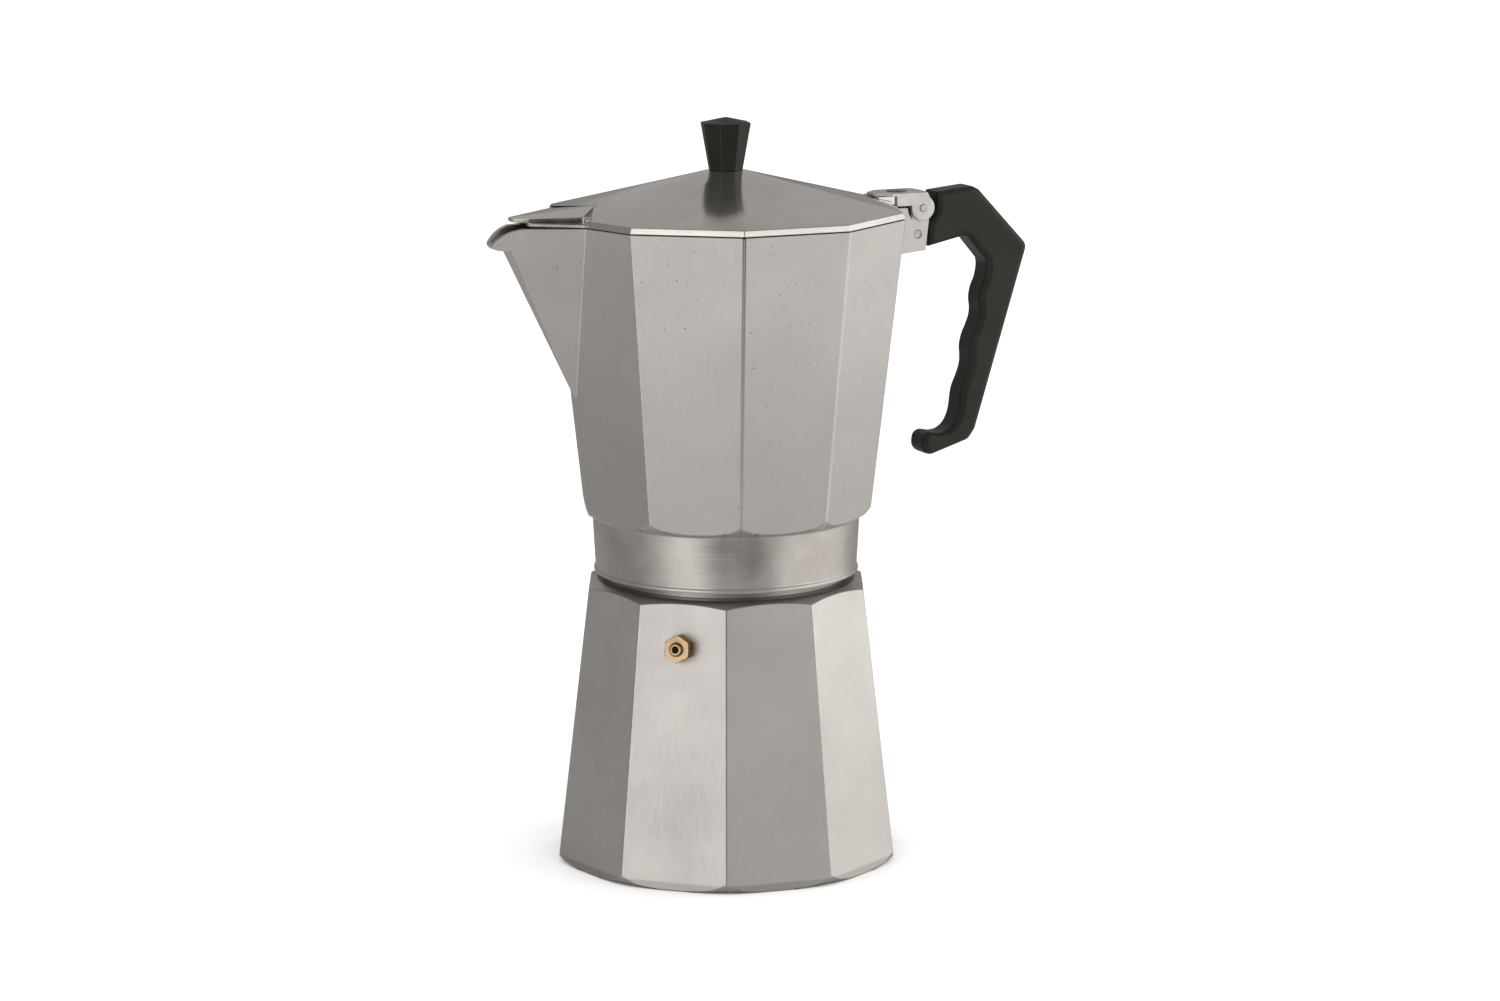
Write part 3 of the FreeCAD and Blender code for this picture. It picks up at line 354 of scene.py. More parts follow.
def metal_finish(name, bright, dull, rough, grain, cloud=18.0, pits=None, dark_reflection=None, painted_edge_lines=(),
                 low_shade=None, metallic=1.0):
    """A metal between a bright and a dull colour, with drawn grain.

    rough is its middle roughness and the spread, grain the scratches across and along per metre and their
    depth, cloud the patches per metre. pits is the cells per metre, a pit's size in a cell and the share of
    cells. dark_reflection is the middle and reach of a painted dark reflection. Each of painted_edge_lines
    is the bearing in degrees, low height, top height, half width and colour of a line of painted shade or
    painted highlight along an edge, stronger towards its top. low_shade is the two heights between which a
    painted shade over the low part ends, its share and its colour.
    """
    material, tree, place = new_finish(name)
    across, along, depth = grain
    scratches = placed(tree, grain_group, Vector=place, Across=across, Height_Scale=along)
    clouds = placed(tree, cloud_group, Vector=place, Scale=cloud)["Mask"]
    scored = ranged(tree, scratches["Mask"], 0.3, 0.7, 0.0, 0.35)
    colour = blended(tree, scored, blended(tree, clouds, bright, dull), dull)
    # A painted dark reflection: a darker patch round a point, broken up by the grain and patches.
    if dark_reflection:
        middle, reach = dark_reflection
        away = add(tree, "ShaderNodeVectorMath", {0: place, 1: middle}, operation="DISTANCE")
        near = ranged(tree, away.outputs["Value"], 0.3 * reach, reach, 0.75, 0.0, "SMOOTHSTEP")
        blotchy = math_node(tree, "MULTIPLY", near, math_node(tree, "ADD", scored, clouds))
        colour = blended(tree, blotchy, colour, scaled(dull, 0.62))
    if low_shade or painted_edge_lines:
        level = add(tree, "ShaderNodeSeparateXYZ", {"Vector": place}).outputs["Z"]
    # Painted shade: the colour darkens towards the low part.
    if low_shade:
        low, top, share, tint = low_shade
        below = ranged(tree, level, low * MM, top * MM, share, 0.0, "SMOOTHSTEP")
        colour = blended(tree, below, colour, tint)
    # Painted lines of shade or highlight along edges, stronger towards their tops.
    for bearing, low, top, half, tint in painted_edge_lines:
        east, north = math.cos(math.radians(bearing)), math.sin(math.radians(bearing))
        ahead, aside = [add(tree, "ShaderNodeVectorMath",
                            {0: place, 1: way}, operation="DOT_PRODUCT").outputs["Value"]
                        for way in ((east, north, 0), (-north, east, 0))]
        line = ranged(tree, math_node(tree, "ABSOLUTE", aside), 0.3 * half * MM, half * MM, 1.0, 0.0,
                      "SMOOTHSTEP")
        fade = ranged(tree, level, low * MM, top * MM, 0.15)
        shown = math_node(tree, "MULTIPLY", math_node(tree, "GREATER_THAN", ahead),
                          math_node(tree, "MULTIPLY", line, fade))
        colour = blended(tree, shown, colour, tint)
    heights = scratches["Height"]
    if pits:
        density, size, share = pits
        pitted = placed(tree, pit_group, Vector=place, Density=density, Size=size, Share=share)
        colour = blended(tree, pitted["Mask"], colour, scaled(dull, 0.5))
        heights = math_node(tree, "ADD", heights, math_node(tree, "MULTIPLY", pitted["Height"], 4.0))
    middle, spread = rough
    roughness = ranged(tree, scratches["Height"], 0.1, 0.7, middle - spread, middle + spread)
    surfaced(tree, colour, roughness, heights, depth, {"Metallic": metallic})
    return material


ALUMINIUM = (0.785, 0.757, 0.735)
DULL_ALUMINIUM = (0.70, 0.676, 0.655)
EDGE_SHADE_COLOUR = (0.03, 0.028, 0.026)
NEAR_EDGE = -108                      # bearing of the corner whose edge gets a painted dark line of shade

BASE_CORNER, BASE_EDGE, FOOT = 68.5, 4.6, 64.5
TOP_CORNER, CORNER_HEIGHT = 56.0, 108.2
SHOULDER, SHOULDER_HEIGHT = 50.6, 110.7
NECK, NECK_BORE, NECK_TOP = 46.0, 43.0, 129.5
BOILER_TURN = -5.7                    # how far the boiler stands turned when the thread is tight
BOILER_WALL, BOILER_FLOOR = 3.2, 4
FOOT_SHADE_LOW, FOOT_SHADE_TOP = 2.7, 3.8         # the painted shade of a band round the foot ends between these heights
ARRIS_TURN = 4                        # a face turned further than this from its flat is on an arris
# The boiler's colour darkens in a band round its foot as painted shade, and one corner gets a painted dark
# line of shade.
ground_boiler = metal_finish(
    "ground_aluminium", ALUMINIUM, DULL_ALUMINIUM, (0.47, 0.05), (1300, 25, 0.006),
    low_shade=(FOOT_SHADE_LOW, FOOT_SHADE_TOP, 0.8, (0.52, 0.50, 0.48)),
    painted_edge_lines=((BOILER_TURN + NEAR_EDGE, 0, CORNER_HEIGHT, 0.5, EDGE_SHADE_COLOUR),))
OUTSIDE = BASE_CORNER + 0.2
boiler_taper = (BASE_CORNER - TOP_CORNER) / (CORNER_HEIGHT - BASE_EDGE)
shoulder_taper = (SHOULDER_HEIGHT - CORNER_HEIGHT) / (TOP_CORNER - SHOULDER)
boiler = worked(
    faceted("boiler_casting", (BASE_CORNER + boiler_taper * BASE_EDGE, 0),
            (TOP_CORNER - boiler_taper * 3, CORNER_HEIGHT + 3), turn=BOILER_TURN),
    "INTERSECT",
    turned("lathe_cut", [
        (0, 0), (FOOT, 0), (FOOT + 1.4, 0.35), (FOOT + 2.8, 1.5), (OUTSIDE, BASE_EDGE),
        (OUTSIDE, CORNER_HEIGHT - shoulder_taper * (OUTSIDE - TOP_CORNER)), (SHOULDER, SHOULDER_HEIGHT),
        (0, SHOULDER_HEIGHT)]))
worked(boiler, "UNION",
       turned("neck", [(0, CORNER_HEIGHT), (NECK, CORNER_HEIGHT), (NECK, NECK_TOP - 0.6),
                       (NECK - 0.6, NECK_TOP), (0, NECK_TOP)]),
       thread("neck_thread", NECK - 0.2, 2.5, 0, THREAD_WIDE, THREAD_NARROW))
worked(boiler, "DIFFERENCE",
       turned("water_space", [
           (0, BOILER_FLOOR), (BASE_CORNER * FLAT - BOILER_WALL - 3, BOILER_FLOOR),
           (BASE_CORNER * FLAT - BOILER_WALL, BOILER_FLOOR + 3),
           (TOP_CORNER * FLAT - BOILER_WALL + 0.4, CORNER_HEIGHT - 7), (NECK_BORE, SHOULDER_HEIGHT - 1),
           (NECK_BORE, NECK_TOP + 1), (0, NECK_TOP + 1)]))
rounded(boiler, 0.3)
# The shoulder and neck: turned aluminium, in a darker colour that is painted shade under the collar.
turned_shoulder_in_shade = metal_finish(
    "turned_shoulder_in_shade", (0.64, 0.615, 0.585), (0.46, 0.44, 0.415), (0.40, 0.05), (40, 2400, 0.006),
    cloud=30.0)


def on_arris(normal, turn):
    """Whether a face lies on the narrow burnished strip between two of the ten flats."""
    off = (math.degrees(math.atan2(normal.y, normal.x)) - turn) % FLAT_STEP
    return abs(off - FLAT_STEP / 2) > ARRIS_TURN and abs(normal.z) < 0.4


burnished = metal_finish(
    "burnished_arris", (0.70, 0.675, 0.655), (0.58, 0.56, 0.54), (0.20, 0.04), (400, 60, 0.002))
marked(boiler,
       lambda middle, normal: on_arris(normal, BOILER_TURN) and BASE_EDGE < middle.z < CORNER_HEIGHT,
       lambda middle, normal: normal.z > 0.5 and middle.z > CORNER_HEIGHT - 4 or middle.z > SHOULDER_HEIGHT)
fitted(boiler, (ground_boiler, burnished, turned_shoulder_in_shade), "boiler", "boiler")

# -------- safety valve
# A turned brass body with a hexagon head, screwed into one of the boiler's flats. A hollow nose is
# pressed into it, and behind the nose a steel poppet sits on its seat under a small wound spring.
VALVE_BEARING, VALVE_HEIGHT = math.radians(-131.7), 92.9
flat_low = BASE_CORNER * FLAT
valve_lean = math.atan(flat_low * (1 - TOP_CORNER / BASE_CORNER) / (CORNER_HEIGHT - BASE_EDGE))
valve_reach = flat_low - (VALVE_HEIGHT - BASE_EDGE) * math.tan(valve_lean)
east, north = math.cos(VALVE_BEARING), math.sin(VALVE_BEARING)
lean_out, lean_up = math.cos(valve_lean), math.sin(valve_lean)
out_of_flat = Vector((east * lean_out, north * lean_out, lean_up))
up_flat = Vector((-east * lean_up, -north * lean_up, lean_out))
across_flat = out_of_flat.cross(up_flat)
valve_seat = Vector((valve_reach * east, valve_reach * north, VALVE_HEIGHT)) * MM
valve_frame = (Matrix.Translation(valve_seat)
               @ Matrix((up_flat, across_flat, out_of_flat)).transposed().to_4x4())

brass = metal_finish(
    "machined_brass", (0.74, 0.56, 0.37), (0.50, 0.35, 0.20), (0.34, 0.06), (900, 9000, 0.004), cloud=260.0)
# A darker copy of the brass, as painted shade on the hex's sides and on the nose's ring.
brass_in_shade = metal_finish(
    "brass_in_painted_shade", (0.34, 0.20, 0.08), (0.20, 0.11, 0.045), (0.45, 0.06), (900, 9000, 0.004),
    cloud=260.0)
sprung_steel = metal_finish(
    "sprung_steel", (0.62, 0.61, 0.59), (0.40, 0.39, 0.37), (0.32, 0.06), (2500, 400, 0.003), cloud=300.0)
HEX_CORNER, HEX_HEIGHT, CHAMFER = 5.45, 6.0, 5.55
SHANK, SHANK_END, ROOM, ROOM_END, WAY = 3.5, -8, 2.3, -6.6, 1.2
NOSE_BORE, NOSE_FIT, NOSE_END, NOSE_TIP = 1.35, 2.25, -5.4, 1.6


def plug(name, radius, low, high, steps=64):
    """A plain round plug on the axis, which a hole is cut with."""
    return turned(name, [(0, low), (radius, low), (radius, high), (0, high)], steps)


valve_body = worked(
    faceted("valve_head", (HEX_CORNER, 0), (HEX_CORNER, HEX_HEIGHT), sides=6), "INTERSECT",
    turned("chamfer", [(0, 0), (HEX_CORNER - 0.25, 0), (CHAMFER, 0.3), (CHAMFER, HEX_HEIGHT - 0.25),
                       (HEX_CORNER - 0.35, HEX_HEIGHT), (0, HEX_HEIGHT)], steps=96))
worked(valve_body, "UNION",
       turned("shank", [(0, SHANK_END), (SHANK - 0.3, SHANK_END), (SHANK, SHANK_END + 0.3), (SHANK, 0.2),
                        (0, 0.2)], steps=64))
worked(valve_body, "DIFFERENCE", plug("room", ROOM, ROOM_END, HEX_HEIGHT + 1),
       plug("way", WAY, SHANK_END - 1, ROOM_END + 0.6, 48))
rounded(valve_body, 0.12, segments=2)
# The hex's sides take the brass in painted shade.
marked(valve_body, lambda middle, normal: (abs(normal.z) < 0.9 and middle.z > 0.2
                                          and math.hypot(middle.x, middle.y) > 4))
valve_body.data.transform(valve_frame)
fitted(valve_body, (brass, brass_in_shade), "boiler", "valve_body")

nose = turned("valve_nose_tube", [
    (NOSE_BORE, NOSE_END), (NOSE_FIT, NOSE_END), (NOSE_FIT, 0), (2.8, 0), (2.85, 0.1), (2.75, 0.35),
    (2.45, 0.4), (2.2, 0.12), (2.1, 0.2), (2.1, 1.45), (1.95, NOSE_TIP), (1.5, NOSE_TIP), (NOSE_BORE, 1.45)],
    steps=96)
rounded(nose, 0)
# The nose's ring takes the brass in painted shade.
marked(nose, lambda middle, normal: 2.12 < math.hypot(middle.x, middle.y) < 2.75 and 0 < middle.z < 0.39)
nose.data.transform(valve_frame @ Matrix.Translation((0, 0, HEX_HEIGHT * MM)))
fitted(nose, (brass, brass_in_shade), "boiler", "valve_nose")


def refinished(finish, *names):
    """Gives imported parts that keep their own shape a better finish."""
    for name in names:
        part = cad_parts[name]
        part.data.materials.clear()
        part.data.materials.append(finish)


refinished(sprung_steel, "valve_poppet")

# The spring's round wire, swept along an even helix.
SPRING, SPRING_WIRE, SPRING_TURNS = 1.45, 0.25, 5.0
SPRING_FOOT, SPRING_LENGTH = -5.1, 5.4
spring_tree, given = named_tree("wound_spring", {
    "Radius": 0.0015, "Turns": 5.0, "Length": 0.005, "Wire": 0.0002, "Finish": None})
coils = add(spring_tree, "GeometryNodeCurveSpiral",
            {"Resolution": 40, "Rotations": given["Turns"], "Start Radius": given["Radius"],
             "End Radius": given["Radius"], "Height": given["Length"]})
wire = add(spring_tree, "GeometryNodeCurvePrimitiveCircle",
           {"Resolution": 16, "Radius": given["Wire"]}, mode="RADIUS")
wound = add(spring_tree, "GeometryNodeCurveToMesh",
            {"Curve": coils, "Profile Curve": wire, "Fill Caps": True})
ended(spring_tree, wound, 0.0, 0.0, given["Finish"])
valve_spring = grown("valve_spring_wire", spring_tree, {
    "Radius": SPRING * MM, "Turns": SPRING_TURNS, "Length": SPRING_LENGTH * MM,
    "Wire": SPRING_WIRE * MM, "Finish": sprung_steel})
valve_spring.data.shade_smooth()
valve_spring.data.transform(valve_frame @ Matrix.Translation((0, 0, SPRING_FOOT * MM)))
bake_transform(valve_spring)
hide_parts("valve_spring")

# -------- funnel, gasket and filter plate
# The coffee basket is spun from sheet aluminium with a pierced disc pressed into it. A moulded silicone
# ring seals it to the upper chamber, and holds the pierced filter plate.
spun_aluminium = metal_finish(
    "spun_aluminium", (0.82, 0.80, 0.77), (0.62, 0.60, 0.57), (0.34, 0.05), (60, 5000, 0.004))
refinished(spun_aluminium, "funnel", "funnel_strainer", "filter_plate")

silicone, tree, place = new_finish("white_silicone")
handled = placed(tree, cloud_group, Vector=place, Scale=60.0)["Mask"]
surfaced(tree, blended(tree, handled, (0.62, 0.60, 0.56), (0.52, 0.47, 0.40)), 0.55,
         noise(tree, place, 2500.0), 0.02, {})
refinished(silicone, "gasket")

# -------- upper chamber
# The jug that collects the coffee: an aluminium casting with ten ground flats, a folded spout, a turned
# and threaded collar below, and a lug behind that carries the handle and the lid's pin.
FUNNEL_RIM, GASKET = 1.2, 3.2
SEAT = NECK_TOP + FUNNEL_RIM + GASKET
RECESS, RECESS_TOP = 33, SEAT + 1.2
COLLAR_LOW, COLLAR_TOP, COLLAR, COLLAR_UPPER = 113.5, 135.3, 51.0, 52.1
CHAMBER_LOW, CHAMBER_CORNER = 140.05, 57.55
RIM, RIM_CORNER = 252.1, 70.38
CHAMBER_WALL = 2.8
CHAMBER_FLOOR = SEAT + 4.2
SPOUT_LOW, SPOUT_START, SPOUT_REACH = 185.1, 63.5, 97.1
SPOUT_FLARE, SPOUT_RISE, SPOUT_ROOT, RIDGE_LEAN = 0.3567, 0.2618, 45, 0.46
LIP_LOW, LIP = 243.5, 245.6
HINGE = HINGE_REACH, HINGE_HEIGHT = 80.9, 251.65
GRIP_PIN_PLACE = 79.25, 241.25
LUG_HALF, LUG_REACH, LUG_LOW, LUG_SHOULDER, LUG_EYE = 6.6, 84.2, 233.6, 247.6, 4.4
HINGE_BORE, GRIP_BORE, TONGUE_HALF = 1.45, 1.65, 3.7
RISER, BOSS, BOSS_TOP = 7, 12, CHAMBER_FLOOR + 9
chamber_taper = (RIM_CORNER - CHAMBER_CORNER) / (RIM - CHAMBER_LOW)


def lofted(name, low_ring, top_ring):
    """A solid between two rings of points in metres."""
    mesh = bmesh.new()
    rings = [[mesh.verts.new(point) for point in ring] for ring in (low_ring, top_ring)]
    for ring in rings:
        mesh.faces.new(ring)
    walled(mesh, *rings)
    return from_bmesh(name, mesh)


def plate(name, outline, low, high, flat="side"):
    """An outline in millimetres given thickness: in side view from low to high y, or in plan in z."""
    if flat == "side":
        return lofted(name, *[[(x * MM, y * MM, z * MM) for x, z in outline] for y in (low, high)])
    return lofted(name, *[[(x * MM, y * MM, z * MM) for x, y in outline] for z in (low, high)])


def block(name, near, far, half):
    """A plain block in side view between two (x, z) corners, to half its thickness each side."""
    return plate(name, [near, (far[0], near[1]), far, (near[0], far[1])], -half, half)


def bar(name, radius, half, centre, steps=64):
    """A round bar across the pot, along the hinge's direction."""
    reach, height = centre
    angles = [math.tau * step / steps for step in range(steps)]
    return plate(name, [(reach + radius * math.cos(a), height + radius * math.sin(a)) for a in angles],
                 -half, half)


def spout_wedge(name, inward):
    """The space between the spout's two flanks, drawn inward by a wall's thickness."""
    rings = []
    for height in (SPOUT_LOW, RIM + 1):
        edge = SPOUT_START + (height - SPOUT_LOW) * SPOUT_RISE / SPOUT_FLARE - inward
        half = SPOUT_FLARE * (edge - SPOUT_ROOT)
        rings.append([Vector(point) * MM for point in (
            (-edge, 0, height), (-SPOUT_ROOT, half, height), (-SPOUT_ROOT, -half, height))])
    return lofted(name, *rings)


ridge_top = -SPOUT_START - RIDGE_LEAN * (LIP_LOW - SPOUT_LOW)
under_lip = [(x - SPOUT_REACH, LIP_LOW + z) for x, z in ((2.2, 0), (1.2, 0.35), (0.45, 1.1))]
over_lip = [(x - SPOUT_REACH, LIP + z) for x, z in (
    (0, 0), (0.5, 1.0), (1.6, 2.1), (3.0, 3.25), (4.4, 4.2), (6.1, 5.1), (7.8, 5.7))]
spout = worked(spout_wedge("spout", 0), "INTERSECT", plate("spout_side", [
    (-SPOUT_START, SPOUT_LOW), (ridge_top, LIP_LOW), *under_lip, *over_lip, (-86.4, RIM), (-SPOUT_ROOT, RIM),
    (-SPOUT_ROOT, SPOUT_LOW)], -30, 30))
channel = worked(spout_wedge("channel", CHAMBER_WALL / SPOUT_FLARE), "INTERSECT", plate("channel_side", [
    (-SPOUT_START + CHAMBER_WALL + 3, SPOUT_LOW), (ridge_top + CHAMBER_WALL + 0.4, LIP_LOW + 1.6),
    (5 - SPOUT_REACH, LIP + 0.2), (-SPOUT_REACH - 2, LIP + 1), (-SPOUT_REACH - 2, RIM + 1),
    (1 - SPOUT_ROOT, RIM + 1), (1 - SPOUT_ROOT, SPOUT_LOW)], -30, 30))
chamber = worked(
    faceted("upper_casting", (CHAMBER_CORNER - chamber_taper * (CHAMBER_LOW - COLLAR_TOP), COLLAR_TOP),
            (RIM_CORNER, RIM)),
    "INTERSECT",
    turned("lathe_cut", [
        (0, COLLAR_TOP), (COLLAR_UPPER, COLLAR_TOP), (CHAMBER_CORNER - 1.9, CHAMBER_LOW - 2.6),
        (CHAMBER_CORNER + 0.3, CHAMBER_LOW + 0.4), (RIM_CORNER + 1, CHAMBER_LOW + 22), (RIM_CORNER + 1, RIM),
        (0, RIM)]))
worked(chamber, "UNION", spout,
       plate("lug", [
           (RIM_CORNER - 8, LUG_LOW - 0.9), (LUG_REACH - 1.4, LUG_LOW + 1.2), (LUG_REACH, LUG_SHOULDER),
           (HINGE_REACH + 3.96, HINGE_HEIGHT), (HINGE_REACH - LUG_EYE, HINGE_HEIGHT),
           (HINGE_REACH - LUG_EYE, LUG_SHOULDER), (HINGE_REACH - 5.4, LUG_SHOULDER + 1.7),
           (HINGE_REACH - 6.1, RIM), (RIM_CORNER - 8, RIM)], -LUG_HALF, LUG_HALF),
       bar("eye", LUG_EYE, LUG_HALF, HINGE))
worked(chamber, "DIFFERENCE",
       faceted("hollow", (CHAMBER_CORNER - chamber_taper * (CHAMBER_LOW - CHAMBER_FLOOR)
                          - CHAMBER_WALL / FLAT, CHAMBER_FLOOR),
               (RIM_CORNER - CHAMBER_WALL / FLAT + chamber_taper, RIM + 1)),
       channel,
       block("slot", (RIM_CORNER + 3.6, LUG_LOW - 5), (RIM_CORNER + 34, LUG_LOW + 35), TONGUE_HALF + 0.2),
       bar("hinge_bore", HINGE_BORE, 10, HINGE, 48),
       bar("grip_bore", GRIP_BORE, 10, GRIP_PIN_PLACE, 48))
THREAD_BORE = NECK + 1.6
BEAD = COLLAR + 0.6
worked(chamber, "UNION",
       turned("boss", [(0, CHAMBER_FLOOR - 1), (BOSS, CHAMBER_FLOOR - 1), (BOSS - 2.5, BOSS_TOP),
                       (0, BOSS_TOP)], steps=96),
       turned("collar", [
           (THREAD_BORE + 1, COLLAR_LOW), (COLLAR + 0.2, COLLAR_LOW), (BEAD, COLLAR_LOW + 0.4),
           (BEAD, COLLAR_LOW + 1.3), (COLLAR + 0.25, COLLAR_LOW + 1.65), (COLLAR, COLLAR_LOW + 1.9),
           (COLLAR_UPPER, COLLAR_TOP), (COLLAR_UPPER, CHAMBER_FLOOR - 0.2), (RISER, CHAMBER_FLOOR - 0.2),
           (RISER, RECESS_TOP), (RECESS, RECESS_TOP), (RECESS, SEAT), (THREAD_BORE, SEAT),
           (THREAD_BORE, COLLAR_LOW + 1)]),
       thread("collar_thread", THREAD_BORE - 1.3, 2.25, 180, THREAD_NARROW, THREAD_WIDE))
SEAM = 0.22                           # the dark line left between the ground rim and the lid
worked(chamber, "DIFFERENCE", plug("riser_hole", RISER, SEAT, SEAT + 40),
       plug("rim_seam", HINGE_REACH - 5, RIM - SEAM, RIM + 5, 240),
       block("spout_seam", (-90, RIM - SEAM), (-40, RIM + 5), 25))
rounded(chamber, 0.3)
HIGHLIGHT_EDGE = -72                     # bearing of the corner whose edge gets a painted highlight
# The chamber's colour darkens towards its foot as painted shade; one corner gets a painted dark line of
# shade and another a painted white highlight.
ground_chamber = metal_finish(
    "ground_aluminium_pitted", ALUMINIUM, DULL_ALUMINIUM, (0.48, 0.05), (1100, 22, 0.008),
    pits=(620.0, 0.18, 0.36), low_shade=(CHAMBER_LOW, RIM - 15, 0.85, (0.605, 0.583, 0.563)),
    painted_edge_lines=((NEAR_EDGE, CHAMBER_LOW, RIM, 0.95, EDGE_SHADE_COLOUR),
                (HIGHLIGHT_EDGE, CHAMBER_LOW - 40, RIM, 0.8, (1, 1, 1))))
DARK_REFLECTION_SPOT = (-0.0175, -0.0485, 0.127)        # where a dark reflection is painted on the collar
# The turned collar, with a painted dark reflection round that spot, broken up by the grain and patches.
turned_collar = metal_finish(
    "turned_aluminium", ALUMINIUM, (0.56, 0.53, 0.50), (0.38, 0.06), (60, 2600, 0.006), cloud=26.0,
    dark_reflection=(DARK_REFLECTION_SPOT, 0.017))
filed_lug = metal_finish(
    "filed_aluminium", (0.90, 0.875, 0.85), (0.76, 0.74, 0.715), (0.55, 0.05), (700, 60, 0.008))
marked(chamber, lambda middle, normal: (on_arris(normal, 0) and CHAMBER_LOW < middle.z < RIM - 1
                                        and middle.x > -57 and math.hypot(middle.x, middle.y) > 55),
       lambda middle, normal: middle.z < COLLAR_TOP + 0.05,
       lambda middle, normal: middle.x > RIM_CORNER - 0.5 and middle.z > LUG_LOW - 2)
fitted(chamber, (ground_chamber, burnished, turned_collar, filed_lug), "upper_chamber",
       "upper_chamber")

# -------- riser column
# The cast aluminium tube in the middle of the chamber, a tight fit in its boss. It is closed at the top,
# and the coffee comes out through two side windows.
RISER_BORE, RISER_TOP = 3.6, 222
riser = worked(
    turned("riser_column", [
        (RISER_BORE, RECESS_TOP), (RISER, RECESS_TOP), (RISER, BOSS_TOP + 1),
        (5.6, RISER_TOP - 3), (5.2, RISER_TOP - 1.8), (4.6, RISER_TOP - 0.8), (RISER_BORE, RISER_TOP),
        (0, RISER_TOP), (0, RISER_TOP - 4), (RISER_BORE, RISER_TOP - 4)], steps=96),
    "DIFFERENCE", block("windows", (-2, RISER_TOP - 9), (2, RISER_TOP - 4), 20))
rounded(riser, 0.15, segments=2)
cast_riser = metal_finish(
    "cast_aluminium", (0.76, 0.74, 0.71), (0.60, 0.58, 0.55), (0.46, 0.05), (900, 60, 0.01))
fitted(riser, cast_riser, "upper_chamber", "riser_tube")

# -------- handle
# Moulded black phenolic plastic, with four finger hollows and a hooked end. A thin tongue goes into the
# slot of the lug, where a steel pin is driven through it.
GRIP_HALF, GRIP_EDGE, LID_ROOM = 6.6, 2.6, 7.48
HINGE_PIN, GRIP_PIN, BRACKET_HALF = 1.4, 1.6, 8.0


def filleted(corners, steps=6):
    """An outline whose corners, each (x, z, radius), are rounded by arcs."""
    points = []
    for index, (x, z, radius) in enumerate(corners):
        corner = Vector((x, z))
        before = Vector(corners[index - 1][:2]) - corner
        after = Vector(corners[(index + 1) % len(corners)][:2]) - corner
        half_turn = before.angle(after) / 2
        back = radius / math.tan(half_turn)
        if back < 0.05:
            points.append(corner)
            continue
        before, after = before.normalized(), after.normalized()
        centre = corner + (before + after).normalized() * radius / math.sin(half_turn)
        first = corner + before * back - centre
        sweep = first.angle_signed(corner + after * back - centre)
        for step in range(steps + 1):
            turn_by = Matrix.Rotation(-sweep * step / steps, 2)
            points.append(centre + turn_by @ first)
    return points


def eased(points, spacing):
    """A smooth line through the points, evenly divided, in millimetres."""
    line = []
    for index in range(len(points) - 1):
        a = Vector(points[max(index - 1, 0)])
        b, c = Vector(points[index]), Vector(points[index + 1])
        d = Vector(points[min(index + 2, len(points) - 1)])
        steps = max(int((c - b).length / spacing), 1)
        for step in range(steps):
            t = step / steps
            line.append(0.5 * (2 * b + (c - a) * t + (2 * a - 5 * b + 4 * c - d) * t ** 2
                               + (3 * b - a - 3 * c + d) * t ** 3))
    line.append(Vector(points[-1]))
    return line


def moulded(name, outline, half, edge, steps=6):
    """A plate with fully rounded edges: its outline is drawn in as the thickness runs out."""
    count = len(outline)
    inward = []
    for index in range(count):
        before = (outline[index] - outline[index - 1]).normalized()
        after = (outline[(index + 1) % count] - outline[index]).normalized()
        mitre = Vector((-before.y - after.y, before.x + after.x)) / (1 + before.dot(after))
        inward.append(mitre)
    area = sum(outline[i - 1].cross(outline[i]) for i in range(count))
    if area < 0:
        inward = [-step for step in inward]
    levels = []
    for step in range(steps + 1):
        turn_by = math.pi / 2 * step / steps
        levels.append((half - edge + edge * math.sin(turn_by), edge * (1 - math.cos(turn_by))))
    levels = [(-depth, inset) for depth, inset in reversed(levels)] + levels
    mesh = bmesh.new()
    rings = [[mesh.verts.new(((point.x + side.x * inset) * MM, depth * MM, (point.y + side.y * inset) * MM))
              for point, side in zip(outline, inward)] for depth, inset in levels]
    for low, high in zip(rings, rings[1:]):
        walled(mesh, low, high)
    mesh.faces.new(rings[0])
    mesh.faces.new(rings[-1])
    return from_bmesh(name, mesh)


fingers = [(109.9, 229.3), (110.3, 227.8), (110.2, 225.0), (109.4, 221.5), (107.9, 218.0), (107.1, 213.6),
           (107.5, 209.6), (107.2, 206.4), (105.8, 202.6), (104.2, 199.0), (103.2, 194.5), (103.4, 190.2),
           (103.1, 186.6), (101.7, 182.6), (100.0, 178.6), (99.1, 174.6), (98.7, 170.8), (97.6, 166.8),
           (95.6, 163.6), (92.4, 161.6), (89.2, 161.3)]
hook = filleted([(89.2, 161.3, 0), (83.0, 162.6, 3.4), (81.6, 151.2, 4.0), (103.0, 157.9, 4.0),
                 (105.9, 162.0, 3.0), (128.2, 234.6, 3.6), (106.6, 257.6, 4.2), (103.6, 259.0, 3.0),
                 (88.0, 257.4, 0), (88.0, 249.6, 0), (84.6, 245.4, 0), (84.6, 235.95, 0),
                 (101.2, 239.6, 4.0), (109.9, 229.3, 0)])
handle = moulded("moulded_handle", hook + eased(fingers, 0.9)[1:-1], GRIP_HALF, GRIP_EDGE)
worked(handle, "DIFFERENCE", bar("lid_room", LID_ROOM, 20, HINGE, 96))
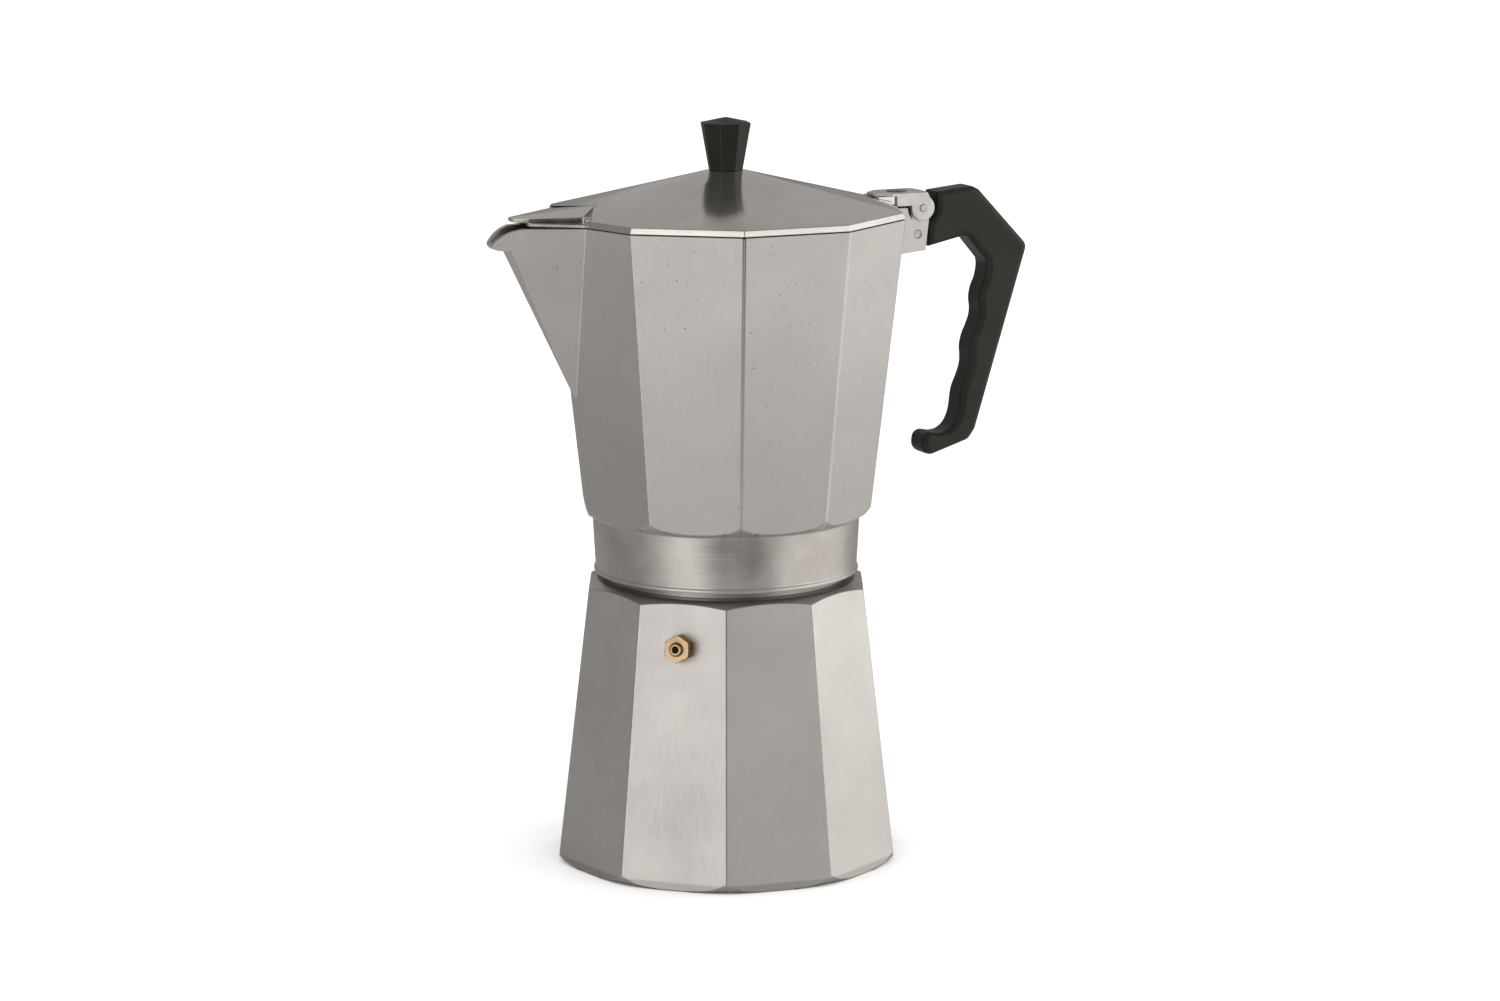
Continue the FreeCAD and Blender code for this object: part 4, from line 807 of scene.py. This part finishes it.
tongue = moulded("tongue", filleted([
    (RIM_CORNER + 4.4, LUG_LOW + 3.4, 0), (LUG_REACH + 6, LUG_LOW + 4.6, 0), (LUG_REACH + 6, 245, 0),
    (HINGE_REACH + 3.6, 246.6, 0.5), (HINGE_REACH + 3.6, 252.5, 2.6), (HINGE_REACH, 255.4, 2.6),
    (HINGE_REACH - 3.6, 252.5, 2.6), (RIM_CORNER + 4.4, LUG_SHOULDER - 2, 0)]), TONGUE_HALF, 0.4, steps=2)
worked(handle, "UNION", tongue)
worked(handle, "DIFFERENCE", bar("grip_hole", GRIP_BORE, 20, GRIP_PIN_PLACE, 48),
       bar("hinge_hole", HINGE_BORE, 20, HINGE, 48))
rounded(handle, 0.3, segments=2, angle=math.radians(40))


def plastic_finish(name, colour, rough):
    """Moulded phenolic plastic: nearly black, handled in patches, with flow marks and a fine skin."""
    material, tree, place = new_finish(name)
    handled = placed(tree, cloud_group, Vector=place, Scale=45.0)["Mask"]
    flow = noise(tree, place, 90.0, 3.0)
    heights = math_node(tree, "ADD", noise(tree, place, 3200.0), math_node(tree, "MULTIPLY", flow, 6.0))
    surfaced(tree, blended(tree, handled, colour, scaled(colour, 1.5)),
             ranged(tree, flow, 0.3, 0.7, rough - 0.05, rough + 0.07), heights, 0.012,
             {"Specular IOR Level": 0.36, "Specular Tint": (1.0, 0.98, 0.88, 1.0)})
    return material


black_plastic = plastic_finish("black_phenolic", (0.0095, 0.0094, 0.0084), 0.42)
fitted(handle, black_plastic, "upper_chamber", "handle")

pin_steel = metal_finish(
    "drawn_steel", (0.66, 0.65, 0.63), (0.46, 0.45, 0.43), (0.30, 0.06), (2400, 2400, 0.004), cloud=320.0)
for name, radius, half, centre in (
        ("handle_pin", GRIP_PIN, LUG_HALF - 0.3, GRIP_PIN_PLACE),
        ("hinge_pin", HINGE_PIN, BRACKET_HALF + 0.3, HINGE)):
    pin = rounded(bar(name + "_rod", radius, half, centre, 48), 0.25)
    fitted(pin, pin_steel, "upper_chamber", name)

# -------- lid
# A pressed and ground aluminium lid with ten flats, a low skirt that drops inside the rim, and a folded
# beak that covers the spout. A pad behind takes the hinge bracket's rivet.
LID_LOW = RIM + 0.18
LID_BAND, LID_TOP_CORNER, LID_PEAK, LID_PEAK_CORNER = 2.36, 69.6, 269.5, 7.4
LID_WALL, SCREW_HOLE = 1.6, 2.2
SKIRT_CORNER = RIM_CORNER - CHAMBER_WALL / FLAT - 0.6
LID_INNER = SKIRT_CORNER - LID_WALL
BRACKET_TOP, SHEET = 257.8, 1.1
PAD_TOP = BRACKET_TOP - SHEET


def two_slopes(name, side_low, side_top, cap_low, cap_top, **shape):
    """A flat-sided blank under a flat-sided cap: what lies inside both."""
    return worked(faceted(name, side_low, side_top, **shape), "INTERSECT",
                  faceted(name + "_cap", cap_low, cap_top, **shape))


band_taper = (RIM_CORNER - LID_TOP_CORNER) / LID_BAND
cap_taper = (LID_TOP_CORNER - LID_PEAK_CORNER) / (LID_PEAK - LID_LOW - LID_BAND)
lid = two_slopes("pressed_lid", (RIM_CORNER, LID_LOW), (RIM_CORNER - 18 * band_taper, LID_LOW + 18),
                 (LID_TOP_CORNER + cap_taper * LID_BAND, LID_LOW), (LID_PEAK_CORNER, LID_PEAK))


def mirrored(*points):
    """A ring of points, their heights over the lid's foot, carried on round the far side."""
    near = [(x, y, LID_LOW + z) for x, y, z in points]
    return near + [(x, -y, z) for x, y, z in reversed(near)]


def crowned(name, low_ring, top_ring, peak=None):
    """A block between two rings, closed above by a low peak or by a flat face."""
    mesh = bmesh.new()
    low, top = [[mesh.verts.new(Vector(point) * MM) for point in ring] for ring in (low_ring, top_ring)]
    bmesh.ops.triangulate(mesh, faces=[mesh.faces.new(low)])
    for step in range(len(low)):
        after = (step + 1) % len(low)
        mesh.faces.new([low[step], low[after], top[after]])
        mesh.faces.new([low[step], top[after], top[step]])
    if peak:
        summit = mesh.verts.new(Vector(peak) * MM)
        for step in range(len(low)):
            mesh.faces.new([top[step], top[(step + 1) % len(low)], summit])
    else:
        bmesh.ops.triangulate(mesh, faces=[mesh.faces.new(top)])
    return from_bmesh(name, mesh)


beak_roof = crowned(
    "beak_roof", mirrored((-88.6, -2.4, 1.6), (-83.5, -5.2, 1.2), (-66.2, -13.6, 0.7), (-61.5, -13.2, 0.5)),
    mirrored((-88.8, -2.6, 3.1), (-83.5, -5.81, 3.35), (-65, -17, 4.2), (-61.5, -15.5, 2.7)),
    (-54.3, 0, LID_LOW + 6.05))
beak_ledge = crowned(
    "beak_ledge", mirrored((-83.5, -5.9, 0), (-65.2, -17.4, 0), (-60, -16.6, 0)),
    mirrored((-83.5, -5.9, 1.3), (-65.2, -17.4, 1.2), (-60, -16.6, 1.2)))
root_stub = crowned(
    "root_stub", mirrored((-66.1, -16.6, 0.6), (-64.6, -17.2, 0.6), (-62, -15, 0.6)),
    mirrored((-65.7, -16.2, 3.9), (-64.6, -16.8, 3.9), (-62, -15, 3.4)))
beak_hollow = crowned(
    "beak_hollow", mirrored((-86.6, -1, -2.7), (-66, -13.2, -2.7), (-50, -13.2, -2.7)),
    mirrored((-86.6, -1, 1.5), (-66, -13.2, 2.4), (-50, -13.2, 0.6)), (-57.5, 0, LID_LOW + 3.5))
worked(lid, "UNION", faceted("skirt", (SKIRT_CORNER - 0.3, LID_LOW - 2.2), (SKIRT_CORNER, LID_LOW + 0.5)),
       beak_ledge, beak_roof, root_stub)
inner_taper = (LID_INNER - LID_PEAK_CORNER + 0.6) / (LID_PEAK - LID_WALL - LID_LOW - LID_BAND + 0.5)
worked(lid, "DIFFERENCE",
       two_slopes("lid_hollow", (LID_INNER, LID_LOW - 3.2), (LID_INNER, LID_PEAK),
                  (LID_INNER + inner_taper * (LID_BAND + 2.7), LID_LOW - 3.2),
                  (LID_PEAK_CORNER - 0.6, LID_PEAK - LID_WALL)),
       beak_hollow)
worked(lid, "UNION", plate("bracket_pad", [
    (62.1, PAD_TOP - 1.6), (62.1, PAD_TOP), (HINGE_REACH - 5.2, PAD_TOP), (HINGE_REACH - 5.2, LID_LOW + 0.9),
    (RIM_CORNER - 4, LID_LOW + 0.9)], 1.3 - BRACKET_HALF, BRACKET_HALF - 1.3))
worked(lid, "DIFFERENCE", plug("screw_hole", SCREW_HOLE, LID_LOW, LID_PEAK + 5, 48))
rounded(lid, 0.25)
satin_lid = metal_finish(
    "satin_aluminium", (0.695, 0.67, 0.64), (0.595, 0.57, 0.54), (0.15, 0.03), (120, 120, 0.0006),
    cloud=12.0, metallic=0.965)
# A dark copy of the aluminium, as painted shade on the recessed flanks under the beak's roof.
beak_flank_shade = metal_finish(
    "beak_flank_painted_shade", (0.30, 0.29, 0.275), (0.16, 0.155, 0.15), (0.42, 0.08), (300, 300, 0.003), cloud=150.0)
sheared = metal_finish(
    "sheared_edge", (0.66, 0.64, 0.615), (0.50, 0.48, 0.46), (0.46, 0.06), (900, 120, 0.006), cloud=90.0)
# The beak's undercut flanks take the painted shade.
marked(lid, lambda middle, normal: (-82 < middle.x < -66 and abs(normal.y) > 0.5 and normal.z < -0.15
                                    and LID_LOW + 1 < middle.z < LID_LOW + 4),
       lambda middle, normal: middle.x < -65.5 and abs(normal.z) < 0.8 and middle.z < LID_LOW + 1.4)
fitted(lid, (satin_lid, beak_flank_shade, sheared), "lid", "lid")

# -------- hinge bracket and rivet
# Folded steel sheet: a plate riveted to the lid's pad, and two ears folded down round the hinge pin. The
# rivet is darker than the sheet.
RIVET_REACH, SHANK_RADIUS, RIVET_HEAD = 73.0, 2, 4.2
EAR_LOW, EAR_EYE = 252.7, 4.9
bracket = plate("folded_bracket", filleted([
    (61.6, -3, 0.6), (67, -BRACKET_HALF, 1.5), (82.2, -BRACKET_HALF, 0.5), (83.8, -BRACKET_HALF / 2, 4),
    (83.8, BRACKET_HALF / 2, 4), (82.2, BRACKET_HALF, 0.5), (67, BRACKET_HALF, 1.5), (61.6, 3, 0.6)], 4),
    PAD_TOP, BRACKET_TOP, flat="plan")
ears = worked(
    worked(plate("ears", [(69.5, BRACKET_TOP), (69.5, EAR_LOW), (HINGE_REACH, EAR_LOW),
                          (HINGE_REACH + 4.6, HINGE_HEIGHT), (82.8, BRACKET_TOP)],
                 -BRACKET_HALF, BRACKET_HALF),
           "UNION", bar("ear_eye", EAR_EYE, BRACKET_HALF, HINGE, 96)),
    "DIFFERENCE", block("ear_gap", (60, 239), (94, PAD_TOP), BRACKET_HALF - SHEET))
worked(bracket, "UNION", ears)
worked(bracket, "DIFFERENCE", bar("ear_bore", HINGE_BORE, 20, HINGE, 48))
rounded(bracket, 0.22)
stamped_steel = metal_finish(
    "stamped_steel", (0.90, 0.88, 0.86), (0.72, 0.70, 0.68), (0.52, 0.07), (500, 500, 0.006), cloud=110.0)
fitted(bracket, stamped_steel, "lid", "hinge_bracket")

rivet = turned("bracket_rivet_head", [
    (0, LID_LOW + 0.4), (2.5, LID_LOW + 0.4), (2.5, LID_LOW + 0.9), (SHANK_RADIUS, LID_LOW + 0.9),
    (SHANK_RADIUS, BRACKET_TOP), (RIVET_HEAD, BRACKET_TOP), (RIVET_HEAD, BRACKET_TOP + 0.15),
    (3.8, BRACKET_TOP + 0.45), (2.6, BRACKET_TOP + 0.6), (0, BRACKET_TOP + 0.6)], steps=64)
rounded(rivet, 0)
dark_rivet = metal_finish(
    "dull_rivet", (0.34, 0.33, 0.32), (0.20, 0.195, 0.19), (0.36, 0.06), (900, 900, 0.004), cloud=240.0)
rivet.data.transform(Matrix.Translation((RIVET_REACH * MM, 0, 0)))
fitted(rivet, dark_rivet, "lid", "bracket_rivet")

# -------- knob
# A flared eight-sided knob of the same black plastic, moulded round a brass insert, with a line of flash
# down one corner. A screw from inside the lid holds it.
KNOB_TURN, KNOB_LOW, KNOB_CORNER, KNOB_TOP = 9.0, 6.7, 10.0, 289.8
INSERT, INSERT_DEPTH = 3.4, 11
FLASH_HALF, FLASH_TOP = 0.16, 287
knob = two_slopes("moulded_knob", (KNOB_LOW, LID_PEAK), (KNOB_CORNER + 0.36, KNOB_TOP),
                  (KNOB_CORNER + 84.2, LID_PEAK), (0.8, KNOB_TOP), sides=8, turn=KNOB_TURN)
worked(knob, "DIFFERENCE", plug("insert_hole", INSERT, LID_PEAK - 1, LID_PEAK + INSERT_DEPTH, 48))
rounded(knob, 0.35)
seam_turn = Matrix.Rotation(math.radians(KNOB_TURN - 135), 4, "Z")
flash = crowned("flash_line", *[
    [(root, -FLASH_HALF, height), (crest, 0, height), (root, FLASH_HALF, height)]
    for root, crest, height in ((6.4, 6.86, LID_PEAK), (9.4, KNOB_CORNER, FLASH_TOP))])
flash.data.transform(seam_turn)
worked(knob, "UNION", flash)
seam_back = seam_turn.inverted()
marked(knob, lambda middle, normal: (abs((seam_back @ middle).y) < FLASH_HALF + 0.01
                                     and (seam_back @ middle).x > 6.3 and middle.z < FLASH_TOP + 0.5))
mould_line = plastic_finish("moulding_flash", (0.060, 0.030, 0.022), 0.5)
fitted(knob, (black_plastic, mould_line), "lid", "knob")
refinished(brass, "knob_insert")
refinished(pin_steel, "knob_screw")

# -------- stage
# A pale floor, a plain pale room and three soft lights. Seen in the metal, the floor and the room are
# darker, as a studio's surroundings are.
FLOOR_REACH, ROOM_LIGHT, ROOM_IN_METAL = 20, 1.25, 0.27
LENS, SENSOR, FAR = 105.06, 36.0, 1.7072


def mixed(tree, factor, first, second):
    return add(tree, "ShaderNodeMixShader", {0: factor, 1: first, 2: second})


floor_mesh = bmesh.new()
bmesh.ops.create_grid(floor_mesh, x_segments=1, y_segments=1, size=FLOOR_REACH)
floor = from_bmesh("floor", floor_mesh)
pale = bpy.data.materials.new("pale_floor")
tree = cleared(pale)
in_metal = add(tree, "ShaderNodeLightPath").outputs["Is Glossy Ray"]
slant = add(tree, "ShaderNodeLayerWeight", {"Blend": 0.5}).outputs["Facing"]
matt = add(tree, "ShaderNodeBsdfDiffuse", {"Color": (0.95, 0.95, 0.945, 1)})
table_top = add(tree, "ShaderNodeBsdfGlossy", {"Color": (0.80, 0.79, 0.78, 1), "Roughness": 0.3})
pale_card = add(tree, "ShaderNodeBsdfDiffuse", {"Color": (0.46, 0.455, 0.45, 1)})
shown = mixed(tree, in_metal, matt, mixed(tree, slant, pale_card, table_top))
add(tree, "ShaderNodeOutputMaterial", {"Surface": shown})
floor.data.materials.append(pale)

world = bpy.data.worlds.new("room")
bpy.context.scene.world = world
tree = cleared(world)
in_metal = add(tree, "ShaderNodeLightPath").outputs["Is Glossy Ray"]
room = add(tree, "ShaderNodeBackground", {"Color": (1.0, 0.998, 0.99, 1), "Strength": ROOM_LIGHT})
dim = add(tree, "ShaderNodeBackground", {"Color": (1.0, 0.98, 0.95, 1), "Strength": ROOM_IN_METAL})
add(tree, "ShaderNodeOutputWorld", {"Surface": mixed(tree, in_metal, room, dim)})

sight = Vector((-0.3996, -0.8975, 0.1867)).normalized()      # from the object towards the camera
aim = Vector((8.543, -3.804, 140.09)) * MM


def seated(name, data, where):
    """A camera or light at a place, turned to the pot's middle."""
    thing = bpy.data.objects.new(name, data)
    bpy.context.scene.collection.objects.link(thing)
    thing.location = where
    thing.rotation_mode = "QUATERNION"
    thing.rotation_quaternion = (aim - where).to_track_quat("-Z", "Y")
    return thing


lens = bpy.data.cameras.new("camera")
lens.sensor_width, lens.lens = SENSOR, LENS
lens.clip_start, lens.clip_end = 0.01, 100
bpy.context.scene.camera = seated("camera", lens, aim + sight * FAR)


def softbox(name, bearing, height, distance, width, tall, power):
    """A soft light at a bearing in degrees, counted to the right of the camera's side of the object."""
    light = bpy.data.lights.new(name, "AREA")
    light.shape, light.size, light.size_y, light.energy = "RECTANGLE", width, tall, power
    light.color = (1.0, 0.985, 0.965)
    side = Matrix.Rotation(math.radians(bearing), 3, "Z") @ Vector((sight.x, sight.y, 0)).normalized()
    seated(name, light, side * distance + Vector((0, 0, height)))


softbox("front_left_softbox", -37, 0.55, 1.6, 1.1, 1.1, 4.6)
softbox("right_softbox", 85, 0.5, 1.4, 2.35, 1.1, 8.8)
softbox("back_softbox", 178, 1.0, 1.8, 2.0, 0.9, 0.9)
bpy.context.scene.view_settings.view_transform = "Standard"
